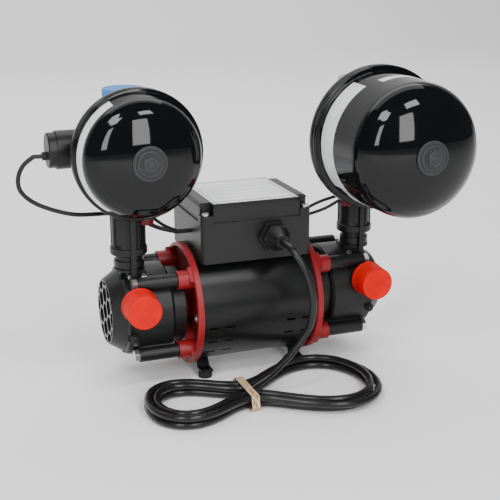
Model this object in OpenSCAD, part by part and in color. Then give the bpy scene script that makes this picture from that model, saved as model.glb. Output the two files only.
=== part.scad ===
// Twin-ended shower pump: one motor, a pump end on each side, and a riser with an expansion vessel on each end.
// Millimetres, +Z up, X along the shaft, the front is -Y.
// The origin is on the floor under the middle of the motor.

/* [Motor] */
// Height of the underside of the barrel above the floor
barrel_up = 13.5; // [12.5:0.5:31.5]
// Outer radius of the motor barrel
barrel_r = 58.5; // [57:0.5:60]
// Length of the motor barrel
barrel_len = 120; // [112:1:150]
// Wall of the motor barrel
barrel_wall = 3.5; // [2.5:0.5:4]
// Length of the stator stack
stack_len = 64; // [50:1:70]
// Radius of the rotor
rotor_r = 27; // [25:0.5:28]
// Air gap between rotor and stator
air_gap = 0.4; // [0.3:0.1:1]
// Radius of the motor shaft
shaft_r = 6; // [5:0.5:6.5]
// Number of stator slots
stator_slots = 12; // [8:1:16]
// Louvre rows on each face of the barrel
louvre_rows = 4; // [2:1:5]

/* [End plates] */
// How far an end plate stands out past the barrel
plate_over = 3.5; // [2.5:0.5:7.5]
// Thickness of the rim of an end plate
plate_t = 6.3; // [5:0.1:9]
// How far the circle of the bolts lies outside a pump housing
bolt_out = 6.336; // [4.8:0.001:8.7]
// Radius of a lug
lug_r = 9; // [8:0.5:9.5]
// How far a lug stands off the rim
lug_reach = 14.2; // [12:0.2:18]

/* [Pump ends] */
// Outer radius of a pump housing
housing_r = 45; // [44:0.5:46]
// Length of a pump housing
housing_len = 42; // [40:1:50]
// Wall of a pump housing around its chamber
housing_wall = 6; // [5:0.5:9]
// Radius of an impeller
impeller_r = 30; // [25:0.5:33]
// Number of vanes in an impeller
vanes = 6; // [4:1:7]
// Length of an end cover
cover_len = 18; // [15:1:24]
// Radius of the flat face of an end cover
cover_face_r = 33; // [30:0.5:36]
// Radius of a housing bolt
bolt_r = 3; // [2.5:0.25:3.5]

/* [Ports] */
// Thread radius of an inlet port
inlet_r = 13.2; // [12:0.1:14]
// Length of an inlet thread
inlet_len = 20; // [15:1:24]
// Height of the inlets above the shaft axis
inlet_up = 19.2; // [16:0.2:21]
// Bore radius of an inlet port
inlet_bore_r = 9.5; // [7:0.5:10.5]
// Thread radius of an outlet port
outlet_r = 16.6; // [15:0.1:17]
// Length of an outlet thread
outlet_len = 20; // [16:0.2:24]
// Bore radius of an outlet port
outlet_bore_r = 11; // [8:0.5:11.5]
// Wall of a transit cap
cap_wall = 3.4; // [2:0.2:4]
// Thickness of the end of a transit cap
cap_end = 2.5; // [1.5:0.5:4]
// Free space between a cap and its thread
cap_clear = 0.3; // [0.25:0.05:0.5]

/* [Risers] */
// Distance of the riser axis from the outer end of the housing
column_in = 5; // [4:0.5:6]
// Distance of the riser axis behind the front, from the shaft
column_y = -12; // [-16:0.5:-8]
// Outer radius of a riser tube
riser_r = 16; // [15:0.5:17]
// Height of the vessels above the shaft axis
vessel_up = 168; // [160:1:190]
// Radius of the bore of a riser
riser_bore_r = 11.1; // [10:0.1:11.5]
// Travel of a flow float
float_travel = 8; // [5:1:12]
// Length of a flow float
float_len = 18; // [14:1:20]

/* [Vessels] */
// Flange radius of the left vessel
left_flange_r = 60.8; // [55:0.2:64]
// Shell radius of the left vessel
left_shell_r = 54.3; // [48:0.1:56]
// Radius of the left shell where it leaves its rim
left_shoulder_r = 57.4; // [55:0.2:58]
// Flange radius of the right vessel
right_flange_r = 71; // [66:0.5:74]
// Shell radius of the right vessel
right_shell_r = 63.5; // [58:0.5:66]
// Radius of the right shell where it leaves its rim
right_shoulder_r = 65; // [64:0.2:67]
// Distance of the vessel flanges in front of the shaft
flange_front = 53; // [50:0.5:60]
// Length of the left shell from its flange to its dome
left_len = 25; // [22:0.5:40]
// Length of the right shell from its flange to its dome
right_len = 78; // [50:1:100]
// Depth of the left dome
left_dome = 24.2; // [20:0.2:35]
// Depth of the right dome
right_dome = 35.2; // [28:0.2:45]
// Wall of a vessel
vessel_wall = 1.6; // [1.2:0.1:2.5]
// Width of a crimped flange
flange_w = 15; // [13:0.5:18]

/* [Terminal box] */
// Distance of each end of the box from the end of the barrel
box_in = 3; // [1:0.5:6]
// Distance of the front of the box from the shaft
box_front = 47; // [45:1:50]
// Distance of the back of the box from the shaft
box_back = 53; // [48:1:56]
// Height of the lid seam above the barrel
seam_rise = 31.5; // [27.5:0.5:41.5]
// Height of the lid
lid_h = 21; // [19:1:28]
// Wall of the box
box_wall = 3; // [2:0.5:4]
// Height of the cable gland above the barrel
gland_rise = 17; // [16.5:0.5:17.5]
// Distance of the cable gland from the middle, to the right
gland_x = 16; // [10:1:25]
// Corner radius of the gland hexagon
gland_r = 16.5; // [15.5:0.5:17]

/* [Feet] */
// Distance of each foot bracket from the end of the barrel
foot_in = 10; // [6:1:14]
// Distance of each foot hole from the shaft, front and back
foot_y = 29; // [28:0.5:30]
// Width of a foot bracket
foot_w = 12.4; // [12:0.2:16]
// Radius of a rubber foot
foot_r = 7; // [6:0.5:8]
// Height of a rubber foot
foot_h = 7; // [6:0.5:8]
// Radius of a fixing hole
foot_hole_r = 2.75; // [2.5:0.05:3]
// Sheet thickness of a foot bracket
sheet = 2; // [1.5:0.5:2.5]

/* [Cord] */
// Diameter of the mains lead
cord_d = 7; // [7:0.1:7.4]
// Loops in the hank
hank_loops = 3.5; // [3.5:1:3.5]
// Reach of the left loops from the tie
hank_left = 100; // [100:1:105]
// Reach of the right loops from the tie
hank_right = 133; // [133:1:138]

/* [Hidden] */
$fn = 72;

// Overrun of every cut, a seat between two fixed pieces, and a running fit
over = 1;
seat = 0.1;
run = 0.05;

// Colours
black_c = "#1c1d1f";
gloss_c = "#0d0e10";
cast_c = "#8e1a1c";
cap_c = "#e23a2c";
blue_c = "#3f86c4";
grey_c = "#8d9094";
steel_c = "#b9bcc0";
rubber_c = "#222222";
copper_c = "#b5682f";

// Motor
axis_h = barrel_r + barrel_up;
barrel_x = barrel_len / 2;
barrel_in_r = barrel_r - barrel_wall;
louvre_len = 10;
louvre_w = 2.4;
louvre_first = 6;
louvre_pitch = 17;
louvre_start = 11;
louvre_step = 16;
yoke = 7.2;
slot_r = (barrel_in_r - rotor_r - air_gap - yoke) / 6;
slot_at = rotor_r + air_gap + slot_r * 2.4;
bar_r = slot_r - seat * 2;
coil_len = 13;
coil_in_r = slot_at - bar_r * 1.5;
coil_out_r = slot_at + bar_r * 2.2;
bearing_r = 16;
bearing_w = 10;
shield_deep = 0.8;
rod_r = 2.5;
rod_y = barrel_in_r - rod_r * 1.6;
rod_clear = 0.3;
rod_nut_r = 4.4;
rod_nut_t = 4.4;

// End plates
ring_at = housing_r + bolt_out;
lug_pitch = ring_at / sqrt(2);
plate_r = max(barrel_r + plate_over, ring_at + lug_r);
plate_x = barrel_x + plate_t;
web_x = barrel_x + plate_t * 0.24;
web_t = 4;
rim_w = 4;
plate_hub_r = bearing_r + web_t;
bearing_x = barrel_x - web_t;
hub_end_x = bearing_x + bearing_w + web_t;
shaft_clear_r = shaft_r * 1.3;
lug_x = plate_x + lug_reach;
rib_w = 6;
rib_x = web_x + lug_reach * 0.6;

// Pump ends
housing_gap = 3.5;
housing_x = lug_x + housing_gap;
housing_end = housing_x + housing_len;
end_wall = 6;
chamber_r = housing_r - housing_wall;
chamber_x = housing_x + end_wall;
seal_r = 13;
seal_len = 8;
drum_r = ring_at - lug_r - web_t;
seal_hub_x = rib_x + over;
seal_x = housing_x - seal_len + over * 3;
edge = 2.5;
boss_r = 7;
boss_end = housing_end - end_wall;
bolt_head_r = 6;
bolt_head_t = 5;
impeller_x = chamber_x + housing_len * 0.24;
disc_t = 2.5;
vane_h = 7;
vane_t = 2;
hub_r = shaft_r * 1.9;
eye_r = impeller_r * 0.5;
nut_r = shaft_r * 1.5;
nut_t = 5;
impeller_end = impeller_x + disc_t * 2 + vane_h + nut_t * 0.5;
flange_in = 1.5;
flange_r = housing_r - flange_in;
flange_t = 3.5;
cover_x = housing_end + cover_len;
spigot_len = 7;
ring_r = 1.3;
ring_x = housing_end - spigot_len * 0.5;
hex_deep = 4;
hex_rib = 1.8;
hex_r = cover_face_r * 0.27;
grille_rim = 2;
grille_r = cover_face_r - grille_rim;
notch_w = 8;

// Ports and columns; the column axis is also that of the inlet along X
column_x = housing_end - column_in;
collar_sunk = 0.8;
collar_t = 2.2;
collar_w = 2.8;
collar_back = housing_r - collar_sunk;
collar_front = collar_back + collar_t;
collar_r = inlet_r + collar_w;
passage_x = column_x - inlet_bore_r * 0.65;
passage_r = inlet_bore_r * 0.7;
block_x = column_x - collar_r;
rim_gap = 0.3;
cap_r = inlet_r + cap_clear + cap_wall;
inlet_tip = collar_front + inlet_len;
cap_lip = 0.7;
cap_lip_t = 3;
cap_over = 2.2;
spigot_r = 13;
spigot_low = housing_r + collar_sunk;
nose_r = riser_bore_r - seat;
nose_wall = 2.6;
nose_bore_r = nose_r - nose_wall;
nose_len = 14;
root_h = 17;
collar_low = housing_r + root_h;
collar_h = 8;
nose_top = collar_low + nose_len;
float_clear = 0.6;
float_wall = 3.5;
float_r = riser_bore_r - float_clear;
float_gap = 0.3;
float_bore_r = float_r - float_wall;
stop_at = nose_top + float_gap + float_len + float_travel + float_gap;
stop_w = 1.5;
stop_r = float_bore_r + stop_w;
head_wall = 3;
head_r = riser_r + head_wall;
head_half = 18;
neck_rise = 27.5;
neck_top = vessel_up + neck_rise;
port_wall = 2.6;
port_stem_r = riser_r - port_wall;
port_stem_len = 11;
port_collar_w = 1.6;
port_collar_r = outlet_r + port_collar_w;
port_collar_t = 2.2;
outlet_low = neck_top + port_collar_t;
outlet_cap_r = outlet_r + cap_clear + cap_wall;
riser_rib_t = 2.2;
riser_rib_out = 1.1;
riser_ribs = 8;
branch_r = 13;
back_deep = 16;
branch_end = flange_front - back_deep;
nipple_r = 6;
nipple_len = 6;
switch_port_r = 9;
switch_port_out = 2;
switch_port_x = column_x + head_r + switch_port_out;
switch_bore_r = 5;
strap_w = 5;
strap_t = 1.5;
strap_drop = 5;
strap_low = housing_r - strap_drop;
strap_down = 42;
strap_top = vessel_up - strap_down;
strap_ring_h = 7;
strap_open = 9;
foot_screw_r = 1.4;
foot_screw_head_r = 2.6;
foot_screw_len = 9;
foot_screw_head_t = 1.6;
root_half = 13;
screw_drop = 4;
screw_up = housing_r - screw_drop;
flow_block = 9;
flow_block_h = 15;
flow_up = nose_top + float_len - over;

// Vessels
plug_r = 15.9;
plug_t = 4;
plug_stem_r = 9;
plug_stem_len = 8;
plug_hex_r = 8;
plug_hex_t = 1.6;
dome_steps = 16;
bead = 2;
groove = 1.3;
clamp_t = 1.6;
rim_deep = 5;
neck_r = 14;
neck_len = 2.5;

// Terminal box
box_len = barrel_len - box_in * 2;
seam_up = barrel_r + seam_rise;
gland_up = barrel_r + gland_rise;
saddle_up = barrel_r * 0.888;
floor_rise = 1.4;
floor_up = barrel_r + floor_rise;
floor_t = 2.5;
corner_r = 6;
pillar = 12;
pillar_drop = 11;
lid_bevel = 3;
lid_lip = 2.6;
lid_sunk = 1.6;
screw_r = 1.8;
screw_head_r = 3.6;
screw_head_t = 2.6;
screw_len = 30;
label_t = 0.6;
label_deep = 0.4;
label_margin = 13;
label_edge = 4;
board_t = 1.6;
board_post = 5;
board_post_r = 3;
cap_can_r = 14;
cap_can_len = 60;
gland_hole_r = 10;
gland_hex_t = 6;
gland_in = 4;
nut_len = 20;
nut_back_r = 14.5;
nut_hex_t = 7;
nut_nose_r = 6.4;
cord_clear = 0.4;
gland_bore_r = cord_d / 2 + cord_clear;
grip = 0.1;
nut_front = box_front + gland_hex_t + nut_len;

// Feet
foot_x = barrel_x - foot_in;
saddle_angle = 18;
leg_lean = tan(25);
saddle_steps = 10;

// Leads
pressure_d = 4.3;
flow_d = 3.3;
switch_out = 7;
switch_x = switch_port_x + switch_out;
switch_r = 18;
switch_len = 38;
switch_cap_t = 8;
switch_cap_r = 16.5;
stub_r = 4;
stub_len = 4.5;
stub_down = 5;

// Tie and cores
tie_t = 1;
tie_w = 8;
core_d = 2.2;
core_out = 38;
// Where the end of each core lies from its start, across and up
core_ends = [[-5, -1], [4, 5], [12, 0]];

// The hank: how the loops grow outwards, step down a layer and draw in at the waist
hank_x = -32;
hank_y = -101;
hank_grow = 8;
hank_inner = 4.3;
hank_step = 10.5;
hank_round = 1.35;
hank_round_grow = 18;
hank_waist = 34;
hank_layer = 7.6;
hank_tail = 0.042;
hank_rings = 24;
hank_sides = 6;
tie_gap = 0.2;

// Route of the mains lead, from inside the gland to the tie
lead_route = [[16, -66, 147.5], [16, -80, 147.5], [18, -92, 144.5], [24, -101, 133], [30, -105, 118],
    [33, -108, 101], [33, -109, 86], [29, -109, 71], [21, -108, 57], [11, -106, 44], [0, -102, 31],
    [-10, -99, 21]];
lead_steps = 4;

// Route of the pressure lead behind the left riser to the side of the box
pressure_route = [[-8, 0], [-18, -8], [-23, -20], [-21, -32], [-10, -43], [8, -52], [28, -58]];
pressure_end = [[-150, -6, 174], [-138, 4, 171], [-122, 9.5, 167], [-104, 8, 160], [-85, 5, 151],
    [-68, 3, 146]];

// Routes of the leads between the flow switches and the box
left_flow_route = [[-102.5, -24.1, 170], [-98, -19.6, 169], [-86, -14, 159], [-70, -11, 150]];
right_flow_route = [[102.5, -24.1, 169], [98, -19.6, 168], [86, -14, 160], [68, -10, 154]];
right_second_route = [[102.5, -24.1, 175], [98, -19.6, 174], [84, -7, 166], [68, -3, 158]];

// Turning and placing
module along_x(x = 0, y = 0, up = 0) translate([x, y, axis_h + up]) rotate([0, 90, 0]) children();
module along_front(x, up, front = 0) translate([x, -front, axis_h + up]) rotate([90, 0, 0]) children();
module on_side(s) if (s < 0) mirror([1, 0, 0]) children(); else children();
module at_column() translate([column_x, column_y, axis_h]) children();

// A tube of triangles along a path, its ends square to it
function unit(v) = v / norm(v);
function heading(p, i) = unit(p[min(i + 1, len(p) - 1)] - p[max(i - 1, 0)]);
function square_to(base, t) = unit(base - t * (base * t));
function normals(p, i = 0, last = [0, 0, 1], done = []) = i >= len(p) ? done :
    let (n = square_to(last, heading(p, i))) normals(p, i + 1, n, concat(done, [n]));
function spline(a, b, c, d, t) = 0.5 * (2 * b + (c - a) * t + (2 * a - 5 * b + 4 * c - d) * t * t
    + (3 * b - a - 3 * c + d) * t * t * t);
// Straight at both ends, smooth between
function route(p, steps) = concat([p[0]], smooth([for (i = [1 : len(p) - 2]) p[i]], steps), [p[len(p) - 1]]);
function smooth(p, steps) = concat([for (i = [0 : len(p) - 2], s = [0 : steps - 1])
    spline(p[max(i - 1, 0)], p[i], p[i + 1], p[min(i + 2, len(p) - 1)], s / steps)], [p[len(p) - 1]]);
module tube(path, d, sides, first = [0.2, 0.3, 1]) {
    n = normals(path, 0, first);
    last = len(path) - 1;
    points = [for (i = [0 : last]) let (m = cross(heading(path, i), n[i]))
        for (j = [0 : sides - 1]) path[i] + d / 2 * (n[i] * cos(360 * j / sides) + m * sin(360 * j / sides))];
    sides_faces = [for (i = [0 : last - 1], j = [0 : sides - 1])
        let (a = i * sides + j, b = i * sides + (j + 1) % sides)
        for (face = [[a, a + sides, b], [b, a + sides, b + sides]]) face];
    caps = [for (j = [1 : sides - 2]) for (face = [[0, j, j + 1],
        [last * sides, last * sides + j + 1, last * sides + j]]) face];
    polyhedron(points, concat(sides_faces, caps));
}

// The hank's own path: u counts loops from the innermost of the top layer
half_loops = hank_loops / 2;
function eased(t) = let (c = min(max(t, 0), 1)) c * c * (3 - 2 * c);
function hank_point(u) = let (
    k = half_loops - abs(u - half_loops),
    lay = 1 - eased((u - half_loops + 0.25) * 2),
    s = sin(360 * u), c = cos(360 * u),
    reach = s > 0 ? hank_left : hank_right,
    a = reach + hank_grow * (k - half_loops),
    q = hank_round * reach + hank_round_grow * (k - half_loops),
    swell = q * abs(s * c) / (1 + c * c),
    side = sqrt(hank_waist * hank_waist * c * c * c * c + swell * swell)
        + (hank_inner + hank_step * k - hank_waist) * c * c)
    [hank_x - a * s / (1 + c * c), hank_y + sign(c) * side,
     tie_t + tie_gap + cord_d / 2 + lay * hank_layer];
core_offset = core_d * 0.66;
hank_count = round((hank_loops + hank_tail) * hank_rings);
hank_path = [for (i = [0 : hank_count]) hank_point(i / hank_rings)];
hank_gap = min([for (i = [0 : hank_count], j = [0 : hank_count])
    if (j > i + 4) norm(hank_path[i] - hank_path[j])]) - cord_d;
function run_length(p) = len(p) < 2 ? 0 : [for (i = 0, sum = 0; i < len(p); i = i + 1,
    sum = sum + (i < len(p) ? norm(p[i] - p[i - 1]) : 0)) sum][len(p) - 1];
hank_end = hank_path[hank_count];
hank_dir = heading(hank_path, hank_count);
echo(hank_least_gap = hank_gap, hank_length = run_length(hank_path));

// Motor
module motor_barrel() {
    color(black_c) difference() {
        along_x(-barrel_x) cylinder(r = barrel_r, h = barrel_len);
        along_x(-barrel_x - over) cylinder(r = barrel_in_r, h = barrel_len + over * 2);
        for (s = [-1, 1], column = [0, 1], row = [0 : louvre_rows - 1], face = [0, 180])
            translate([s * (barrel_x - louvre_first - louvre_len / 2 - column * louvre_pitch), 0, axis_h])
                rotate([(face == 0 ? 1 : -1) * (louvre_start + row * louvre_step), 0, face])
                    translate([-louvre_len / 2, -barrel_r - over, -louvre_w / 2])
                        cube([louvre_len, barrel_wall + over * 2, louvre_w]);
    }
}

module stator_core() {
    color(grey_c) difference() {
        along_x(-stack_len / 2) cylinder(r = barrel_in_r - seat, h = stack_len);
        along_x(-stack_len / 2 - over) {
            cylinder(r = rotor_r + air_gap, h = stack_len + over * 2);
            for (i = [0 : stator_slots - 1]) rotate([0, 0, i * 360 / stator_slots])
                translate([slot_at, 0, 0]) cylinder(r = slot_r, h = stack_len + over * 2, $fn = 24);
            for (s = [-1, 1]) translate([0, s * rod_y, 0])
                cylinder(r = rod_r + rod_clear, h = stack_len + over * 2);
        }
    }
}

module stator_windings() {
    coil_x = stack_len / 2 + seat;
    corner = coil_len * 0.25;
    color(copper_c) {
        along_x() for (s = [-1, 1]) rotate([s < 0 ? 180 : 0, 0, 0]) rotate_extrude() polygon([
            [coil_in_r, coil_x], [coil_out_r, coil_x], [coil_out_r, coil_x + coil_len - corner],
            [coil_out_r - corner, coil_x + coil_len], [coil_in_r + corner, coil_x + coil_len],
            [coil_in_r, coil_x + coil_len - corner]]);
        along_x(-coil_x - over) for (i = [0 : stator_slots - 1]) rotate([0, 0, i * 360 / stator_slots])
            translate([slot_at, 0, 0]) cylinder(r = bar_r, h = (coil_x + over) * 2, $fn = 24);
    }
}

module motor_shaft() {
    step_r = shaft_r * 1.2;
    step_x = bearing_x - over / 2;
    color(steel_c) difference() {
        union() {
            along_x(-impeller_end) cylinder(r = shaft_r, h = impeller_end * 2);
            along_x(-step_x) cylinder(r = step_r, h = step_x * 2);
            for (s = [-1, 1]) on_side(s) along_x(impeller_end) cylinder(r = nut_r, h = nut_t, $fn = 6);
        }
        for (s = [-1, 1]) on_side(s) along_x(impeller_end + nut_t - over)
            cylinder(r = shaft_r / 2, h = over * 2);
    }
}

module rotor_core() {
    ring_in = rotor_r * 0.72;
    ring_out = rotor_r * 0.94;
    ring_h = 5;
    color(grey_c) difference() {
        union() {
            along_x(-stack_len / 2) cylinder(r = rotor_r, h = stack_len);
            along_x(-stack_len / 2 - ring_h) difference() {
                cylinder(r = ring_out, h = stack_len + ring_h * 2);
                translate([0, 0, -over]) cylinder(r = ring_in, h = stack_len + (ring_h + over) * 2);
            }
        }
        along_x(-stack_len / 2 - over) cylinder(r = shaft_r * 1.2 + run, h = stack_len + over * 2);
    }
}

module bearings() {
    race = (bearing_r - shaft_r) * 0.25;
    color(steel_c) for (s = [-1, 1]) on_side(s) along_x() rotate_extrude() polygon([
        [shaft_r + run, bearing_x], [shaft_r + race, bearing_x], [shaft_r + race, bearing_x + shield_deep],
        [bearing_r - race, bearing_x + shield_deep], [bearing_r - race, bearing_x], [bearing_r, bearing_x],
        [bearing_r, bearing_x + bearing_w], [bearing_r - race, bearing_x + bearing_w],
        [bearing_r - race, bearing_x + bearing_w - shield_deep],
        [shaft_r + race, bearing_x + bearing_w - shield_deep],
        [shaft_r + race, bearing_x + bearing_w], [shaft_r + run, bearing_x + bearing_w]]);
}

// End plates: a rim, a web dished between four lugs, and the bearing hub
module end_plate() {
    pocket_r = bearing_r + seat;
    spigot_r = barrel_in_r - seat;
    back_x = web_x - web_t;
    foot_half = lug_r * 0.9;
    color(cast_c) difference() {
        union() {
            along_x() rotate_extrude() polygon([
                [shaft_clear_r, hub_end_x], [plate_hub_r - edge, hub_end_x], [plate_hub_r, hub_end_x - edge],
                [plate_hub_r, web_x + edge], [plate_hub_r + edge, web_x],
                [plate_r - rim_w - edge, web_x], [plate_r - rim_w, web_x + edge],
                [plate_r - rim_w, plate_x], [plate_r - over, plate_x],
                [plate_r, plate_x - over], [plate_r, barrel_x], [spigot_r, barrel_x],
                [spigot_r, back_x], [plate_hub_r, back_x], [plate_hub_r, bearing_x - over],
                [pocket_r, bearing_x - over], [pocket_r, bearing_x + bearing_w + seat],
                [shaft_clear_r, bearing_x + bearing_w + seat]]);
            for (y = [-1, 1], z = [-1, 1]) {
                along_x(barrel_x, y * lug_pitch, z * lug_pitch) cylinder(r = lug_r, h = lug_x - barrel_x);
                along_x(back_x) rotate([0, 0, atan2(y, -z)])
                    translate([plate_hub_r - over, -rib_w / 2, 0])
                        cube([ring_at - plate_hub_r, rib_w, rib_x - back_x]);
                along_x(barrel_x) rotate([0, 0, atan2(y, -z)])
                    translate([ring_at, -foot_half, 0])
                        cube([plate_r - ring_at - over, foot_half * 2, lug_reach * 0.7]);
            }
        }
        for (y = [-1, 1], z = [-1, 1])
            along_x(back_x - over, y * lug_pitch, z * lug_pitch)
                cylinder(r = bolt_r + seat, h = lug_x - back_x + over * 2);
        for (y = [-1, 1]) along_x(back_x - over, y * rod_y)
            cylinder(r = rod_r + rod_clear, h = web_t + over * 2);
    }
}

module tie_rods() {
    reach = web_x + rod_nut_t;
    color(steel_c) for (y = [-1, 1]) {
        along_x(-reach - over, y * rod_y) cylinder(r = rod_r, h = (reach + over) * 2);
        for (s = [-1, 1]) on_side(s) along_x(web_x, y * rod_y) cylinder(r = rod_nut_r, h = rod_nut_t, $fn = 6);
    }
}

// Pump ends
module pump_housing() {
    root_end = housing_end - seat;
    color(black_c) difference() {
        union() {
            along_x() rotate_extrude() polygon([
                [shaft_clear_r, seal_hub_x], [drum_r, seal_hub_x], [drum_r, housing_x],
                [housing_r - edge, housing_x], [housing_r, housing_x + edge], [housing_r, housing_end],
                [chamber_r, housing_end], [chamber_r, chamber_x], [seal_r + seat, chamber_x],
                [seal_r + seat, seal_x], [shaft_clear_r, seal_x]]);
            for (y = [-1, 1], z = [-1, 1]) {
                along_x(lug_x, y * lug_pitch, z * lug_pitch) cylinder(r = boss_r, h = boss_end - lug_x);
                along_x(housing_x) rotate([0, 0, atan2(y, -z)])
                    translate([chamber_r + over, -boss_r * 0.7, 0])
                        cube([ring_at - chamber_r - over, boss_r * 1.4, boss_end - housing_x - over]);
            }
            // Root of the inlet, square up to its collar
            translate([block_x, -collar_back, axis_h + inlet_up - collar_r])
                cube([root_end - block_x, collar_back - chamber_r * 0.75,
                    lug_pitch - bolt_head_r - rim_gap - inlet_up + collar_r]);
            // Root and spigot of the riser
            translate([block_x + edge, column_y - root_half, axis_h + chamber_r * 0.9])
                cube([root_end - block_x - edge, root_half * 2, spigot_low - chamber_r * 0.9 + over]);
            at_column() translate([0, 0, spigot_low]) {
                cylinder(r = riser_r - over, h = edge);
                cylinder(r = spigot_r, h = collar_low - spigot_low);
                cylinder(r = nose_r, h = nose_top - spigot_low);
            }
        }
        for (y = [-1, 1], z = [-1, 1])
            along_x(lug_x - over, y * lug_pitch, z * lug_pitch)
                cylinder(r = bolt_r + seat, h = boss_end - lug_x + over * 2);
        along_x(chamber_x) cylinder(r = chamber_r, h = housing_len);
        along_front(passage_x, inlet_up, chamber_r * 0.6) cylinder(r = passage_r, h = housing_r);
        // Spot face for the inlet collar
        along_front(column_x, inlet_up, collar_back) cylinder(r = collar_r + rim_gap, h = over * 2);
        at_column() {
            translate([passage_x - column_x, 0, chamber_r * 0.6])
                cylinder(r = passage_r, h = spigot_low - chamber_r * 0.6 + edge);
            translate([0, 0, spigot_low + over]) cylinder(r = nose_bore_r, h = nose_top);
        }
        for (s = [0, 1]) along_front(block_x + edge * 2 + s * (root_end - block_x - edge * 3), screw_up,
            root_half - column_y - foot_screw_len) cylinder(r = foot_screw_r + seat, h = foot_screw_len + over);
    }
}

module end_cover() {
    out_r = chamber_r - run;
    in_r = out_r - end_wall;
    cell = hex_r * 2 * cos(30);
    color(black_c) difference() {
        along_x() rotate_extrude() polygon([
            [0, housing_end - spigot_len * 0.3], [in_r, housing_end - spigot_len * 0.3],
            [in_r, housing_end - spigot_len], [out_r, housing_end - spigot_len],
            [out_r, ring_x - ring_r], [out_r - ring_r * 2, ring_x - ring_r],
            [out_r - ring_r * 2, ring_x + ring_r], [out_r, ring_x + ring_r],
            [out_r, housing_end], [flange_r, housing_end], [flange_r, housing_end + flange_t],
            [flange_r - edge, housing_end + flange_t + over], [cover_face_r, cover_x - over],
            [cover_face_r - over, cover_x], [0, cover_x]]);
        // Notches round the flange for the locking key
        for (i = [0 : 7]) along_x(housing_end) rotate([0, 0, 22.5 + i * 45])
            translate([flange_r - edge, -notch_w / 2, over])
                cube([edge + over, notch_w, flange_t + over]);
        // Honeycomb sunk in the face
        along_x(cover_x - hex_deep) intersection() {
            cylinder(r = grille_r, h = hex_deep + over);
            for (i = [-2 : 2], j = [-2 : 2]) if (abs(i + j) < 3)
                translate([(i + j / 2) * (cell + hex_rib), j * (cell + hex_rib) * sin(60), 0])
                    rotate([0, 0, 30]) cylinder(r = hex_r, h = hex_deep + over, $fn = 6);
        }
    }
}

module housing_bolts() {
    color(steel_c) for (s = [-1, 1], y = [-1, 1], z = [-1, 1]) on_side(s) {
        along_x(plate_x, y * lug_pitch, z * lug_pitch) cylinder(r = bolt_r, h = boss_end - plate_x + over);
        along_x(boss_end, y * lug_pitch, z * lug_pitch) cylinder(r = bolt_head_r, h = bolt_head_t, $fn = 6);
    }
}

// Closed impeller: back disc, swept vanes and a shroud with its eye
module impeller() {
    sweep_r = impeller_r * 0.62;
    color(grey_c) difference() {
        union() {
            along_x(impeller_x) cylinder(r = impeller_r, h = disc_t);
            along_x(impeller_x) cylinder(r = hub_r, h = impeller_end - impeller_x);
            along_x(impeller_x + disc_t + vane_h) difference() {
                cylinder(r = impeller_r, h = disc_t);
                translate([0, 0, -over]) cylinder(r = eye_r, h = disc_t + over * 2);
            }
            along_x(impeller_x + disc_t - over / 2) intersection() {
                difference() {
                    cylinder(r = impeller_r, h = vane_h + over);
                    translate([0, 0, -over]) cylinder(r = hub_r - over, h = vane_h + over * 3);
                }
                union() for (i = [0 : vanes - 1]) rotate([0, 0, i * 360 / vanes])
                    translate([sweep_r * 0.55, sweep_r * 0.8, 0]) difference() {
                        cylinder(r = sweep_r, h = vane_h + over);
                        translate([0, 0, -over]) cylinder(r = sweep_r - vane_t, h = vane_h + over * 3);
                        translate([-sweep_r * 2, -sweep_r * 0.2, -over])
                            cube([sweep_r * 4, sweep_r * 2, vane_h + over * 3]);
                        translate([-sweep_r * 2, -sweep_r * 2, -over])
                            cube([sweep_r * 1.6, sweep_r * 4, vane_h + over * 3]);
                    }
            }
        }
        along_x(impeller_x - over) cylinder(r = shaft_r + run, h = impeller_end);
    }
}

module shaft_seals() {
    face_w = seal_len * 0.4;
    color(rubber_c) for (s = [-1, 1]) on_side(s) along_x() rotate_extrude() polygon([
        [shaft_r + run, seal_x], [seal_r, seal_x], [seal_r, seal_x + seal_len],
        [shaft_r * 1.5, seal_x + seal_len], [shaft_r * 1.5, seal_x + seal_len + face_w],
        [shaft_r + run, seal_x + seal_len + face_w]]);
}

module cover_seals() {
    color(rubber_c) for (s = [-1, 1]) on_side(s) along_x() rotate_extrude()
        translate([chamber_r - run - ring_r, ring_x]) circle(r = ring_r - run, $fn = 24);
}

// Ports and their transit caps
module inlet_ports() {
    relief = 0.6;
    color(black_c) for (s = [-1, 1]) on_side(s) difference() {
        union() {
            along_front(column_x, inlet_up, collar_back) cylinder(r = collar_r, h = collar_front - collar_back);
            along_front(column_x, inlet_up, collar_front) cylinder(r = inlet_r - relief, h = inlet_len);
            along_front(column_x, inlet_up, collar_front + edge)
                cylinder(r = inlet_r, h = inlet_len - edge - over);
            along_front(passage_x, inlet_up, collar_back - end_wall)
                cylinder(r = passage_r - seat, h = end_wall + over);
        }
        along_front(column_x, inlet_up, collar_front) cylinder(r = inlet_bore_r, h = inlet_len + over);
        along_front(passage_x, inlet_up, collar_back - end_wall - over)
            cylinder(r = passage_r * 0.7, h = end_wall + over + collar_front - collar_back);
    }
}

module outlet_ports() {
    relief = 0.6;
    color(black_c) for (s = [-1, 1]) on_side(s) at_column() difference() {
        union() {
            translate([0, 0, neck_top - port_stem_len]) cylinder(r = port_stem_r - seat, h = port_stem_len + over);
            translate([0, 0, neck_top]) cylinder(r = port_collar_r, h = port_collar_t);
            translate([0, 0, neck_top]) cylinder(r = outlet_r - relief, h = port_collar_t + outlet_len);
            translate([0, 0, outlet_low + edge]) cylinder(r = outlet_r, h = outlet_len - edge - over);
        }
        translate([0, 0, neck_top - port_stem_len - over])
            cylinder(r = outlet_bore_r, h = port_stem_len + port_collar_t + outlet_len + over * 2);
    }
}

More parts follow.
